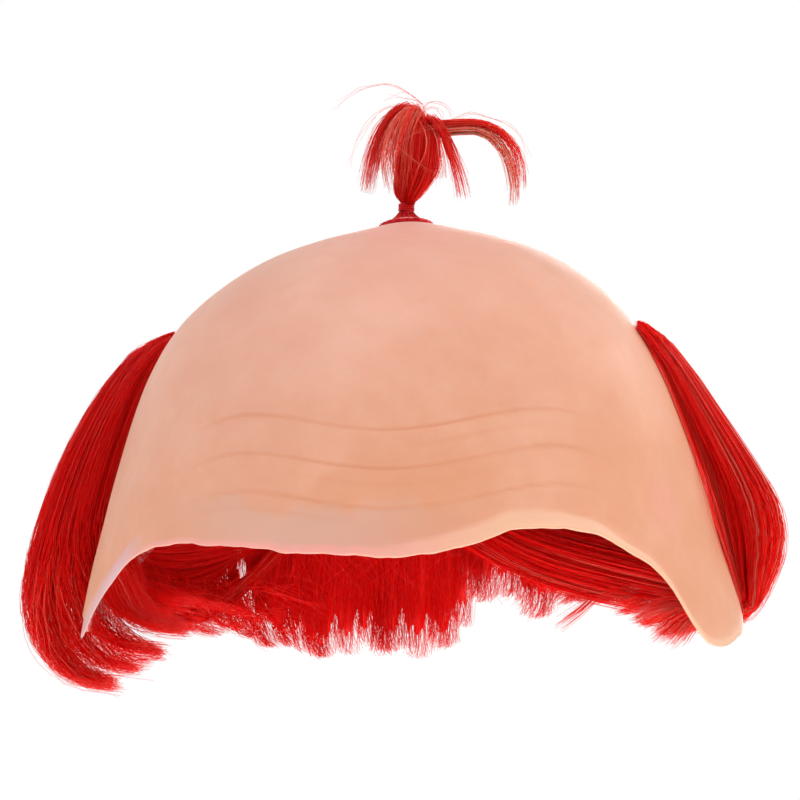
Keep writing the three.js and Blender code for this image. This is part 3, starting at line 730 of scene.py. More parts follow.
def left_lock_shift(paths, bearing, layer, way):
    """How the fibres behind the left tab move, into locks that end one above the other."""
    lock = np.searchsorted(LEFT_LOCKS["layer"], layer[:, 0])
    end = np.stack([LEFT_LOCKS[axis][lock] for axis in "xyz"], axis=-1)
    spread = (draw.normal(0, LEFT_LOCK_SPREAD, end.shape)) @ LEFT_LOCK_AXES
    shift = (end - paths[:, -1]) * LEFT_LOCK_PULL + spread
    ease = smooth(way, 0.44, 0.88) * smooth(bearing, LEFT_LOCK_FIRST, LEFT_LOCK_FULL)
    return ease[..., None] * shift[:, None, :]


def uneven_steps(steps, count):
    """Steps along fibres, moved a little on each one so that their bends don't line up."""
    number = np.arange(len(steps))
    inner = (number > 0) & (number < len(steps) - 1)
    return np.interp(number + draw.uniform(-0.45, 0.45, (count, 1)) * inner, number, steps)


def fringe_paths(bearing, layer, length, wave, steps, loose):
    """Paths of fibres from their roots, at a layer from -1 next to the latex to 1 outside."""
    count = len(bearing)
    bearing, layer, length = (v.reshape(-1, 1) for v in (bearing, layer, length))
    row, stack, middle, edge = clump_of(bearing, layer)
    number = row * CLUMP_STACK + stack
    lie = {name: along(HAIR_LIE, "bearing", name, bearing) for name in ("tuck", "step", "curl")}
    way = uneven_steps(steps, count) * length
    drop = along(LOCK_STATIONS, "way", "drop", way)
    gathered = CLUMPS["gather"][row] * smooth(way, 0.45, 0.9) * loose
    stack_layer = 2 * (stack + 0.5) / CLUMP_STACK - 1
    stacked = layer + (stack_layer - layer) * STACKING * smooth(way, 0.6, 1) * loose
    deep = (1 - stacked) / 2
    end = CLUMPS["end"][row] + clump_uneven[number] - lie["step"] * (deep - 0.05) - TIP_ROUNDING * edge ** 2
    root = fringe("root", bearing) + draw.uniform(-1, 1.5, (count, 1))
    rise = ROOT_RISE * (1 - deep) * bell(way - 0.03, 0.035)
    depth = root + (end - root) * drop - rise
    phase = draw.uniform(0, 2 * np.pi, (2, count, 1))
    turns = draw.uniform(0.8, 2.0, (2, count, 1))
    sway = wave * way * np.sin(2 * np.pi * turns[0] * way + phase[0])
    swell = 0.5 * wave * way * np.sin(2 * np.pi * turns[1] * way + phase[1])
    across = bearing + (middle - bearing) * gathered + fringe("sweep", bearing) * drop
    thickness = fringe_thickness(bearing, way)
    under = smooth(depth - edge_depth(across), 0.5, 7)
    curl = (fringe("curl", bearing) + thickness / 2) * lie["curl"] + lie["tuck"] * (0.3 + 0.7 * deep)
    curl = curl * along(LOCK_STATIONS, "way", "curl", way) * under
    out = HAIR_CLEAR + thickness / 2 * (1 + stacked) - curl
    fan = smooth(way, 0, 0.06)
    out = out * fan + (ROOT_OUT + 0.5 * layer) * (1 - fan)
    out = out + (clump_out[number] * gathered + swell) * under
    paths = crown_point(across + np.degrees(sway / FRINGE_RADIUS), depth, out)
    return paths + left_lock_shift(paths, bearing, layer, way)


# the shares of the fibres that lie outside, and outside or next to the latex
OUTER_SHARE, SEEN_SHARE = 0.42, 0.76


def hair_layers(count):
    """Layers for fibres: most lie at the outside or next to the latex, where they are seen."""
    pick = draw.uniform(0, 1, count)
    outer, inner = draw.uniform(0.5, 1.02, count), draw.uniform(-1.0, -0.55, count)
    between = draw.uniform(-0.55, 0.55, count)
    return np.where(pick < OUTER_SHARE, outer, np.where(pick < SEEN_SHARE, inner, between))


MEAN_TONE, LIGHT_SHARE, LIGHTER = 0.46, 0.025, 0.42


def hair_tones(bearing, layer):
    """Each fibre's tone: broad streaks with lighter fibres among them, a painted light edge and painted
    sheen at the right, and painted shade under the brow.
    """
    row, stack, _, _ = clump_of(bearing, layer)
    streak = MEAN_TONE + 0.1 * np.sin(bearing * 0.9) * np.sin(bearing * 0.31 + 1)
    # painted light: fibres next to the latex at the right front end are lighter, as if lit by light off the
    # latex
    lit_by_latex = 0.3 * bell(bearing - FRINGE_FIRST, 2.5) * smooth(-layer, 0, 0.8)
    # painted highlight: more lighter fibres on the outside at the right, a painted sheen
    painted_sheen = 0.2 * (1 - smooth(bearing, 98, 106)) * smooth(layer, 0, 0.5)
    # painted shade: the inner fibres at the back, under the brow, are darker
    under_brow_shade = 0.24 * bell(bearing - 184, 28) * smooth(-layer, 0, 0.5)
    inner = 0.16 * bell(bearing - 160, 24) * smooth(-layer, 0.2, 0.6)
    light = draw.uniform(0, 1, len(bearing)) < LIGHT_SHARE + painted_sheen + inner
    tone = streak + clump_tone[row * CLUMP_STACK + stack] + lit_by_latex - under_brow_shade + LIGHTER * light
    far = (bearing > FAR_FIRST) & (bearing < FAR_LAST)
    return np.clip(tone + draw.normal(0, 1, len(bearing)) * np.where(far, 0.1, 0.06), 0.12, 1)


# the fringe's lengths, each one joined mesh; the two at its front ends have fibres through all their layers
FRINGE_LENGTHS = table(
    "first last count front",
    (84.5, 87.5, 600, 1), (87, 104, 1100, 0), (104, 146, 1650, 0), (146, 206, 2050, 0), (206, 250, 1600, 0),
    (250, 267, 1080, 0), (266.5, 270, 600, 1))
FAR_FIRST, FAR_LAST = 104, 250
FAR_WAVE, NEAR_WAVE = 1.8, 0.4


def fringe_hair():
    for number, (first, last, count, front) in enumerate(zip(*FRINGE_LENGTHS.values())):
        count = int(count)
        bearing = draw.uniform(first, last, count)
        layer = draw.uniform(-1, 1, count) if front else hair_layers(count)
        length = 1 - np.abs(draw.normal(0, 0.036, count))
        far = first >= FAR_FIRST and last <= FAR_LAST
        wave, steps = (FAR_WAVE, FAR_STEPS) if far else (NEAR_WAVE, NEAR_STEPS)
        paths = fringe_paths(bearing, layer, length, wave, steps, draw.uniform(0.5, 1.15, (count, 1)))
        radius = STRAND_RADIUS * draw.uniform(0.75, 1.2, count)
        strand_piece(f"fringe_hair_{number + 1}", paths, radius, hair_tones(bearing, layer))


CORE_FIRST, CORE_LAST, CORE_COLUMNS = 87.5, 267, 420
CORE_STATIONS = table(
    "way inner outer",
    (0.03, 0.3, 0.45), (0.1, 0.28, 0.64), (0.2, 0.26, 0.74), (0.36, 0.26, 0.77), (0.52, 0.28, 0.77),
    (0.66, 0.32, 0.74), (0.79, 0.38, 0.65), (0.9, 0.46, 0.54))
CORE_SHORT, CORE_SCALLOP, CORE_LEFT_SHORT, CORE_RIGHT_SHORT, CORE_PARTED_SHORT = 6, 10, 24, 22, 40
CORE_GROOVE, CORE_RAGGED = 0.35, 2.5


def fringe_core():
    """The body of packed hair between the outer and the inner fibres, with a tongue in each clump."""
    bearing = np.linspace(CORE_FIRST, CORE_LAST, CORE_COLUMNS)
    streak = draw.uniform(-1, 1, CORE_COLUMNS)
    row, _, _, edge = clump_of(bearing, np.zeros(CORE_COLUMNS))
    way = CORE_STATIONS["way"][:, None]
    drop = along(LOCK_STATIONS, "way", "drop", way)
    root = fringe("root", bearing)
    short = (CORE_SHORT + CORE_LEFT_SHORT * smooth(bearing, LEFT_LOCK_FIRST - 8, LEFT_LOCK_FULL) +
             CORE_RIGHT_SHORT * (1 - smooth(bearing, 98, 116)) +
             CORE_PARTED_SHORT * bell(bearing - PARTING["bearing"], 3.2))
    ragged = (CORE_SCALLOP * edge ** 4 - CORE_RAGGED * streak) * smooth(way, 0.6, 0.9)
    end = CLUMPS["end"][row] - short - ragged
    depth = root + (end - root) * drop
    # where it is cut short, it is as thick as the fibres are at the same height
    level = (depth - root) / (CLUMPS["end"][row] - root)
    thickness = fringe_thickness(bearing, np.interp(level, LOCK_STATIONS["drop"], LOCK_STATIONS["way"]))
    across = bearing + fringe("sweep", bearing) * level
    outer, inner = (crown_point(across, depth, HAIR_CLEAR + thickness * CORE_STATIONS[side][:, None] +
                                CORE_GROOVE * streak) for side in ("outer", "inner"))
    rows = np.concatenate([outer, inner[::-1]])
    count, columns = rows.shape[:2]
    quads = skin_rows(count + 1, columns, False) % (count * columns)
    first = np.arange(count) * columns
    ends = []
    for column, flip in ((0, False), (columns - 1, True)):
        here = first + column
        for k in range(count // 2 - 1):
            quad = [here[k], here[count - 1 - k], here[count - 2 - k], here[k + 1]]
            ends.append(quad[::-1] if flip else quad)
    quads = np.concatenate([quads, np.array(ends)])
    # lighter where the core stands out and darker where it sinks in: painted shade
    tone = np.broadcast_to(0.35 + 0.2 * streak, (count, columns)).ravel()
    made = shape_mesh("fringe_core", rows.reshape(-1, 3), quads, [], [PACKED_HAIR], measures={"tone": tone})
    set_in_place(made, "hair_fringe")


# sheets of hair that hang in a swag inside the fringe, from behind a tab towards the back
SWAG_LEFT = table(
    "way bearing depth sag out",
    (0, 257, 98, 6, -1), (0.25, 247, 100, 17, -3), (0.5, 236, 100, 25, -5.5), (0.75, 225, 99, 22, -5.5),
    (1, 212, 96, 7, -1))
SWAG_RIGHT = table(
    "way bearing depth sag out",
    (0, 160, 96, 3, -2), (0.25, 150, 98, 15, -7), (0.5, 138, 101, 20, -9), (0.75, 122, 106, 19, -8),
    (1, 100, 114, 12, -2))
SWAG_POINTS = 12
SWAG_RIM = 0.6              # share of a swag's fibres that lie in its lower rim, painted lighter where the rim catches the light


def swag_hair(name, swag, count, fan, rim_place):
    """Fibres of one swag: a smooth sheet in the hollow, and below it a rim that bulges inwards.
    The lower a fibre lies, the further its start is moved round by the fan."""
    rim = draw.uniform(0, 1, (count, 1)) < SWAG_RIM
    place = np.where(rim, draw.uniform(rim_place, 1.06, (count, 1)), draw.uniform(0, 0.85, (count, 1)))
    way = np.linspace(-0.02, 1.02, SWAG_POINTS) * draw.uniform(0.8, 1.06, (count, 1))
    way = np.clip(way + draw.normal(0, 0.04, (count, 1)), 0, 1.06)
    row = {name: along(swag, "way", name, way) for name in ("bearing", "depth", "sag", "out")}
    wander = draw.normal(0, 1, (3, count, 1))
    depth = row["depth"] + row["sag"] * place + 0.05 * swag["sag"].max() * wander[0] * way
    out = row["out"] * (0.15 + 0.85 * smooth(place, rim_place - 0.3, rim_place)) + 0.9 * wander[1]
    bearing = row["bearing"] + fan * place * np.clip(1 - way, 0, 1) + 0.8 * wander[2]
    # painted light: the rim's fibres are a little lighter than the sheet's, and some much lighter, where the
    # rim catches the light
    light = 0.4 * (draw.uniform(0, 1, count) < 0.12)
    tone = np.where(rim[:, 0], draw.normal(0.54, 0.14, count) + light, draw.normal(0.5, 0.08, count))
    strand_piece(name, crown_point(bearing, depth, out), STRAND_RADIUS * draw.uniform(0.7, 1.1, count),
                 np.clip(tone, 0, 1))


def stray_piece(name, bearing, layers, lengths, wave, steps, loose, radius, tones):
    """Fibres of the fringe that have left their clumps."""
    count = len(bearing)
    paths = fringe_paths(bearing, draw.uniform(*layers, count), draw.uniform(*lengths, count), wave, steps,
                         draw.uniform(0, loose, (count, 1)))
    strand_piece(name, paths, radius, draw.uniform(*tones, count))


PROUD_STRAYS, FRONT_STRAYS, LOW_STRAYS = 240, 90, 90
LOOSE_HAIRS, LOOSE_AT_LEFT = 240, 150


def fringe_strays():
    """Fibres that have come loose from the fringe: some stand proud, some cross the latex, some hang low
    at the left, and some hang anyhow inside, below the swags."""
    bearing = draw.uniform(FRINGE_FIRST, FRINGE_LAST, PROUD_STRAYS)
    stray_piece("fringe_strays", bearing, layers=(1.0, 1.14), lengths=(0.75, 1.02), wave=2.4,
                steps=STRAY_STEPS, loose=0.4, radius=0.08, tones=(0.4, 0.9))
    right = draw.uniform(0, 1, FRONT_STRAYS) < 0.5
    bearing = np.where(right, draw.uniform(81, 87, FRONT_STRAYS), draw.uniform(268, 274, FRONT_STRAYS))
    stray_piece("fringe_front_strays", bearing, layers=(-0.95, 0.7), lengths=(0.4, 1), wave=2.0,
                steps=STRAY_STEPS, loose=0.4, radius=0.08, tones=(0.3, 0.7))
    bearing = draw.uniform(262, 273, LOW_STRAYS)
    stray_piece("fringe_low_strays", bearing, layers=(-0.8, 1.05), lengths=(0.85, 1.02), wave=4.0,
                steps=LOW_STEPS, loose=0.6, radius=0.07, tones=(0.7, 1))
    count = LOOSE_HAIRS
    at_back = np.arange(count) >= LOOSE_AT_LEFT
    bearing = np.where(at_back, draw.uniform(150, 214, count), draw.uniform(214, 256, count))
    start = crown_point(bearing, draw.uniform(111, 119, count) - 10 * at_back, draw.uniform(-8, 3, count))
    end = crown_point(bearing - draw.uniform(-6, 18, count) + 5 * at_back,
                      draw.uniform(120, 129, count) - 4 * at_back, draw.uniform(-13, 1, count))
    way = FAR_STEPS[:, None]
    bend = draw.normal(0, 2.5, (count, 1, 3)) * np.sin(np.pi * way)
    paths = start[:, None] + (end - start)[:, None] * way + bend
    strand_piece("fringe_loose_hair", paths, 0.1, draw.uniform(0.3, 0.65, count))


EDGE_SWEEP = 6.5            # degrees that the fibres at the right front end lean back on their way down
EDGE_FIBRES, TAB_STRAYS, TAB_STRAY_POINTS, ROOT_WISPS, WISP_POINTS = 240, 16, 16, 110, 6


def fringe_edge_hair():
    """Fibres that lie flat on the latex along the right front end, over the place where the two meet."""
    count = EDGE_FIBRES
    way = uneven_steps(NEAR_STEPS, count)
    start = draw.uniform(84, 87, (count, 1))
    bearing = start + (draw.uniform(80.5, 87, (count, 1)) - start) * smooth(way, 0, 0.15) + EDGE_SWEEP * way
    root = fringe("root", start) + draw.uniform(-1, 2, (count, 1))
    end = edge_depth(start + EDGE_SWEEP) - draw.uniform(2, 14, (count, 1))
    depth = root + (end - root) * way
    bearing = bearing + draw.normal(0, 0.4, (count, 1)) * np.sin(np.pi * way)
    out = settled(bearing, depth) + draw.uniform(0.15, 0.75, (count, 1))
    # their light tone is painted light, as if lit by light off the latex and through the fibres
    strand_piece("fringe_edge_hair", crown_point(bearing, depth, out), 0.1, draw.uniform(0.55, 0.95, count))


def fringe_tab_strays():
    """A few single fibres that have swung forward over the right tab."""
    count = TAB_STRAYS
    way = np.linspace(0, 1, TAB_STRAY_POINTS)
    swing = np.sin(np.pi * way)
    bearing = draw.uniform(84, 89, (count, 1)) + 4 * way - draw.uniform(3, 13, (count, 1)) * swing
    start, end = draw.uniform(52, 80, (count, 1)), draw.uniform(108, 127, (count, 1))
    depth = start + (end - start) * way
    out = settled(bearing, depth) + 0.4 + draw.uniform(0.3, 3, (count, 1)) * swing
    strand_piece("fringe_tab_strays", crown_point(bearing, depth, out), 0.075,
                 draw.uniform(0.55, 0.9, count))


def fringe_root_wisps():
    """Short broken fibres that stand up along the top of the fringe, many of them at its left front end."""
    count = ROOT_WISPS
    at_left = draw.uniform(0, 1, count) < 0.4
    bearing = np.where(at_left, draw.uniform(258, 270, count), draw.uniform(105, 258, count))
    root = fringe("root", bearing)
    start = crown_point(bearing, root + draw.uniform(-1, 3, count), draw.uniform(2, 5, count))
    rise = crown_normal(bearing, root) * draw.uniform(3, 7.5, (count, 1)) + draw.normal(0, 1.2, (count, 3))
    way = np.linspace(0, 1, WISP_POINTS)[:, None]
    droop = np.array([0, 0, -1]) * draw.uniform(3, 11, (count, 1, 1)) * way ** 2
    strand_piece("fringe_root_wisps", start[:, None] + rise[:, None] * way + droop, 0.06,
                 draw.uniform(0.4, 0.9, count))


# small tufts that hang apart under the right of the fringe, as points from their roots to their tips
TUFTS = [
    [(60, 82, -110), (56, 76, -117.5), (50, 74.5, -123.5), (41, 75, -129.8)],
    [(91.5, 12, -116), (87.3, 14, -120.8), (83.5, 18, -121.9), (79, 21, -124.3), (73.4, 24, -128.1)],
    [(92, 12, -116), (87.9, 14, -121.8), (84, 18, -123.5), (80.1, 21, -126.8), (75.3, 24, -130.7)],
    [(92.5, 12, -116), (88.2, 14, -122.4), (85.3, 17, -125), (82.3, 20, -128.6), (79, 22, -132.2)],
    [(93, 12, -116), (88.8, 14, -123.4), (86.8, 16, -125.9), (84.5, 18, -129.2), (82.5, 20, -131.5)],
    [(91, 14, -116), (86.7, 16, -119.7), (81.5, 22, -120), (75.7, 28, -121.5), (68.5, 34, -124.6)]]
TUFT_FIBRES = [34, 70, 80, 70, 40, 90]
TUFT_SPREAD = (0.6, 1.3)
TUFT_POINTS = 40


def fringe_tufts():
    paths = []
    for knots, count in zip(TUFTS, TUFT_FIBRES):
        spine = curve_through(np.array(knots, float), TUFT_POINTS)
        spread = np.linspace(*TUFT_SPREAD, TUFT_POINTS)[:, None] * draw.normal(0, 1, (count, 1, 3))
        paths.append(cut_ends(spine + spread, 1 - np.abs(draw.normal(0, 0.1, (count, 1))), len(FAR_STEPS)))
    paths = np.concatenate(paths)
    strand_piece("fringe_tufts", paths, STRAND_RADIUS * draw.uniform(0.7, 1.1, len(paths)),
                 np.clip(draw.normal(0.7, 0.16, len(paths)), 0, 1))


CORD_POINTS, CORD_APART, CORD_OUT = 180, 0.9, 1.25
STITCH_POINTS, STITCH_OUT = 721, 1.95


def fringe_weft():
    """The sewn edge that holds the roots: a flat cord along the top of the fringe and the zigzag
    of thread over it."""
    bearing = np.linspace(FRINGE_FIRST - 0.5, FRINGE_LAST + 0.5, CORD_POINTS)
    lines = [crown_point(bearing, fringe("root", bearing) + drop, CORD_OUT)
             for drop in (-CORD_APART, 0, CORD_APART)]
    cord_piece("fringe_weft", np.stack(lines), 0.62, CORD_SIDES, 0.9, 0.3, HAIR, "hair_fringe")
    step = np.linspace(FRINGE_FIRST, FRINGE_LAST, STITCH_POINTS)
    side = np.where(np.arange(STITCH_POINTS) % 2, 1.4, -1.6)
    zigzag = crown_point(step, fringe("root", step) + side, STITCH_OUT)
    cord_piece("fringe_stitches", zigzag[None], 0.2, THREAD_SIDES, 1, 0.6, WEFT, "hair_fringe")


# topknot

def patch_point(radius, angle, height):
    """A point of the patch, by its distance and direction from the topknot's centre."""
    x, y = TOPKNOT["side"] + radius * np.sin(angle), TOPKNOT["back"] - radius * np.cos(angle)
    return np.stack([x, y, crown_height(x, y) + SEAT_GAP + height], axis=-1)


PATCH_RIM, PATCH_WAIST, PATCH_FLARE = 8.3, 2.0, 2.2
PATCH_RISE = (0.35, 3.9)    # height of the skirt at its rim and at its waist
PATCH_COLUMNS, PATCH_ROWS = 120, 16
PATCH_FOLDS = 37
COIL_TURNS, COIL_POINTS, COIL_REACH = 2.6, 240, 3.4
SKIRT_FIBRES, SKIRT_POINTS = 260, 7
RIM_LOOPS, LOOP_POINTS = 26, 8
TIE_TURNS, TIE_POINTS = 4.0, 130


def skirt_height(radius):
    """The height of the patch's skirt, which flares from the neck to a thin rim."""
    inward = np.clip((PATCH_RIM - radius) / (PATCH_RIM - PATCH_WAIST), 0, 1)
    return PATCH_RISE[0] + (PATCH_RISE[1] - PATCH_RISE[0]) * inward ** PATCH_FLARE


def topknot_patch():
    """Weft sewn down in a coil, a skirt of hair that flares over it and loops of thread at the rim."""
    angle = np.linspace(0, 2 * np.pi, PATCH_COLUMNS, endpoint=False)
    radius = np.concatenate([[PATCH_RIM + 0.1], np.linspace(PATCH_RIM, PATCH_WAIST, PATCH_ROWS),
                             [0.05]])[:, None]
    height = np.concatenate([[[0.0]], skirt_height(radius[1:])])
    ripple = 0.12 * np.sin(PATCH_FOLDS * angle) * np.sin(np.pi * np.clip(radius / PATCH_RIM, 0, 1))
    rows = patch_point(radius * (1 + 0.012 * np.sin(11 * angle)), angle, height + ripple)
    points = np.concatenate([rows.reshape(-1, 3), patch_point(np.zeros(1), np.zeros(1), np.full(1, -0.2))])
    quads = skin_rows(len(radius), PATCH_COLUMNS, True)[:, ::-1]
    base = end_fan(len(points) - 1, 0, PATCH_COLUMNS, flip=True)
    # the weft is lighter on the folds' crests and darker in their hollows: painted shade
    tone = 0.3 + 0.2 * np.sin(PATCH_FOLDS * np.tile(angle, len(radius)))
    made = shape_mesh("patch_mound", points, quads, base, [WEFT],
                      measures={"tone": np.append(tone, 0.2)})
    set_in_place(made, "topknot_patch")

    way = np.linspace(0, 1, COIL_POINTS)
    reach = PATCH_RIM - 0.2 - COIL_REACH * way
    spiral = patch_point(reach, 2 * np.pi * COIL_TURNS * way + 0.6, skirt_height(reach) + 0.1)
    tone = np.repeat(0.5 + 0.3 * np.sin(way * 260), CORD_SIDES)
    cord_piece("patch_coil", spiral[None], 0.45, CORD_SIDES, 0.8, tone, WEFT, "topknot_patch")

    count, way = SKIRT_FIBRES, np.linspace(0, 1, SKIRT_POINTS)
    start = draw.uniform(PATCH_WAIST - 0.2, PATCH_WAIST + 0.4, (count, 1))
    reach = start + (draw.uniform(5.2, 8.2, (count, 1)) - start) * way
    turn = draw.uniform(0, 2 * np.pi, (count, 1)) + draw.normal(0, 0.12, (count, 1)) * way
    paths = patch_point(reach, turn, skirt_height(reach) + draw.uniform(0.1, 0.45, (count, 1)))
    strand_piece("patch_skirt", paths, 0.12, draw.uniform(0.1, 0.8, count), WEFT, "topknot_patch")

    step = np.linspace(0, 1, RIM_LOOPS * LOOP_POINTS + 1)
    reach = PATCH_RIM - 0.75 + 0.85 * np.sin(2 * np.pi * RIM_LOOPS * step)
    zigzag = patch_point(reach, 2 * np.pi * step, skirt_height(reach) + 0.62)
    cord_piece("patch_stitches", zigzag[None], 0.16, THREAD_SIDES, 1, 0.5, THREAD, "topknot_patch")


def topknot_tie():
    """Turns of thread round the topknot's neck."""
    way = np.linspace(0, 1, TIE_POINTS)
    angle = 2 * np.pi * TIE_TURNS * way
    radius = NECK_RADIUS + 0.34 + 0.06 * np.sin(3.3 * angle)
    coil = np.stack([radius * np.sin(angle), -radius * np.cos(angle),
                     0.75 + 2.3 * way + 0.1 * np.sin(angle + 1)], axis=-1)
    cord_piece("tie_thread", on_topknot(coil)[None], 0.34, CORD_SIDES, 1, 0.22, WEFT, "topknot_tie")


# the plume's locks, as points of its own frame from the neck up, over the crest and down; y is back
PLUME_SPINES = {
    "left": [(0.3, 0, 0.6), (0.6, 1, 8), (1.4, 1, 20), (1.6, 0.6, 28), (0.2, 0.5, 32.6), (-3.4, 0, 33.2),
             (-7.2, -0.4, 29.6), (-9.8, -0.8, 24.4), (-11.2, -1, 18.8), (-12, -1, 12.6), (-12.8, -0.5, 5.4)],
    "front_left": [(0, 0.6, 0.6), (0, 2.5, 8), (0.8, 2, 20), (1.8, -0.4, 29.5), (0, -2.6, 32.6),
                   (-3.8, -5, 29), (-5.8, -6.6, 23.6), (-6.4, -7.2, 17.6), (-5.8, -6.8, 11.6),
                   (-4.2, -5.6, 6.4)],
    "front": [(0, 0.5, 0.6), (0.5, 2, 8), (1, 1.5, 20), (1.8, -1, 31), (0.6, -5.4, 32.4), (-1.4, -9, 26),
              (-2.4, -10.2, 17), (-2.8, -10.4, 10), (-2.8, -10.2, 5.4)],
    "right": [(0.3, -0.3, 0.6), (2.4, -0.6, 8), (4.2, -1, 17), (4.2, -2, 26.5), (5.8, -3.4, 30.4),
              (10.2, -5, 26), (14, -6, 18.6), (16.5, -6.3, 12.4), (18.6, -6.6, 5.6)],
    "arch_low": [(0.4, 0.3, 0.6), (2.8, 0.4, 8), (4.6, 0.6, 17), (6, 0.8, 25.6), (13, 1.2, 27.2),
                 (20, 2, 28), (25.4, 2.6, 25.8), (29.2, 3, 21.8), (31.6, 3.2, 17), (33, 3.4, 11.5),
                 (33.2, 3.6, 5)],
    "arch_high": [(0.5, 0.5, 0.6), (2.6, 1, 8), (4.4, 1.2, 18), (5.4, 1, 27.6), (11.6, 1.4, 29.2),
                  (18, 2, 30.2), (23.6, 2.6, 29.6), (28.8, 3, 26.8), (32.4, 3.4, 22.6), (34.4, 3.6, 17),
                  (35, 3.8, 10)],
    "back_right": [(0, 0.6, 0.6), (0.6, 2, 8), (1.4, 2.4, 20), (1.8, 4, 30), (3.6, 7.4, 29.6),
                   (5.4, 10.4, 24), (6.4, 11.4, 17.6), (6.5, 11.3, 12)],
    "back_left": [(0, 0.6, 0.6), (-0.2, 2, 8), (0, 2.6, 20), (-0.2, 4, 31.4), (-3.6, 6.6, 30.6),
                  (-6.4, 8.4, 25), (-8, 8.9, 18.6), (-8, 8.8, 13)],
}
# each lock's fibres, half width, splay at its tip, lightest tone and how uneven its ends are; the low arch's
# very light tone is partly painted light, for light shining through it from below
PLUME_FIBRES = table(
    "count width splay tone uneven",
    (190, 3.2, 0.8, 0.42, 0.14), (120, 2.8, 0.8, 0.78, 0.16), (46, 3.4, 1.1, 0.66, 0.16),
    (120, 2.4, 1.1, 0.46, 0.14), (120, 2.4, 0.8, 0.9, 0.14), (100, 2.2, 1.1, 0.56, 0.16),
    (100, 3.4, 1.1, 0.45, 0.08), (100, 3.4, 1.1, 0.45, 0.08))
PLUME_POINTS, SPINE_POINTS = 13, 60
PLUME_SPREAD = [(0, 0.42), (0.1, 0.5), (0.25, 0.9), (0.45, 0.95), (0.6, 0.9), (0.8, 0.95)]


def plume_lock(spine, width, splay, uneven, count):
    """Fibres of one lock: bound in the neck, spread through the bulb and wispy at the tips."""
    path = curve_through(np.array(spine, float), SPINE_POINTS)
    run = unit(np.gradient(path, axis=0))
    flat = path[-1] - path[0]
    aside = unit(np.cross(flat * [1, 1, 0], [0, 0, 1]))
    lift = unit(np.cross(run, aside))
    way = np.linspace(0, 1, SPINE_POINTS)
    spread = along(table("way share", *PLUME_SPREAD, (1, splay)), "way", "share", way) * width
    bound = smooth(path[:, 2], 3, 8) + smooth(way, 0.3, 0.4)
    spread = np.minimum(spread, 1.5 + 10 * bound)
    angle = draw.uniform(0, 2 * np.pi, (count, 1)) + draw.normal(0, 0.5, (count, 1)) * way
    size = draw.uniform(0.05, 1, (count, 1)) ** 0.55
    wisp = 1 + 0.55 * np.abs(draw.normal(0, 1, (count, 1))) * smooth(way, 0.6, 1)
    across = spread * size * wisp * np.cos(angle)
    thick = spread * size * wisp * np.sin(angle) * (1 - 0.3 * smooth(way, 0.2, 0.5))
    fibres = path + across[..., None] * aside + thick[..., None] * lift
    return cut_ends(fibres, 1 - np.abs(draw.normal(0, uneven, (count, 1))), PLUME_POINTS)


def plume_bulb(count):
    """Fibres of the bulb: out from the tied neck, round it and in again at the crest."""
    way = np.linspace(0, 1, PLUME_POINTS)
    turn = draw.uniform(0, 2 * np.pi, (count, 1)) + draw.normal(0, 0.3, (count, 1)) * way
    height = 1.2 + way * draw.uniform(22, 31.4, (count, 1))
    radius = along(PLUME_BULB, "height", "radius", height) * draw.uniform(0.6, 1.0, (count, 1))
    aside = 2.6 * smooth(height, 4, 16)
    return np.stack([0.86 * radius * np.sin(turn) + aside, -radius * np.cos(turn), height], axis=-1)


# single fibres that stand out of the plume, as points of its own frame
PLUME_STRAYS = [
    [(1, 1, 26), (3.3, 1, 33.2), (-1.7, 0, 37.4), (-8.1, -1, 39.4), (-12.5, -1, 39.3), (-18.8, 0, 37),
     (-24.8, 1, 31.9)],
    [(2, 0, 27), (2, 0, 34.6), (-3.5, -1, 36.6), (-8.7, -1, 35.6)],
    [(-2, 1, 27), (-5.1, 1, 33.4), (-9.8, 0, 32.4), (-13.7, -1, 27.7), (-17.4, -1, 21.8), (-19.2, 0, 13.2)],
    [(2, 1, 28), (3.9, 1, 34.7), (7.6, 1, 35.6), (11.2, 2, 33.1), (12, 3, 30.6)],
    [(5, 1, 27), (12.3, 1, 30.7), (17.8, 1, 33), (23.1, 2, 32.5), (29.9, 2, 29.9), (34.3, 2, 25.9),
     (36.6, 3, 20.7)],
    [(10, 0, 28), (20, 0, 28), (27, 0, 22), (29.4, 0, 16.7), (30.8, 1, 10.2)],
    [(0, -3, 6), (-4, -8, 14), (-1, -9.5, 22), (5, -8, 27), (12, -6, 27.5)],
    [(0, -3, 6), (3, -8, 13), (6, -9, 20), (4, -8, 27), (0, -6, 31)],
    [(-1, -3, 27), (-4, -8, 22), (2, -9.6, 17), (9, -8, 12.5)],
    [(2, -3, 30), (7, -6, 26), (10, -7, 18), (10.6, -7, 10)],
    [(-2, 0, 30), (-8, -1, 31), (-12.4, -1.5, 25), (-14, -1.5, 16), (-14.6, -1, 9)],
    [(1, 4, 28), (4, 8, 34), (7, 13, 33), (9, 16, 27)],
]
STRAY_COPIES, STRAY_POINTS = 3, 20
BULB_FIBRES = 360


def plume_piece(name, paths, radius, tones):
    strand_piece(name, on_topknot(paths), radius, tones, PLUME_HAIR, "topknot_plume")


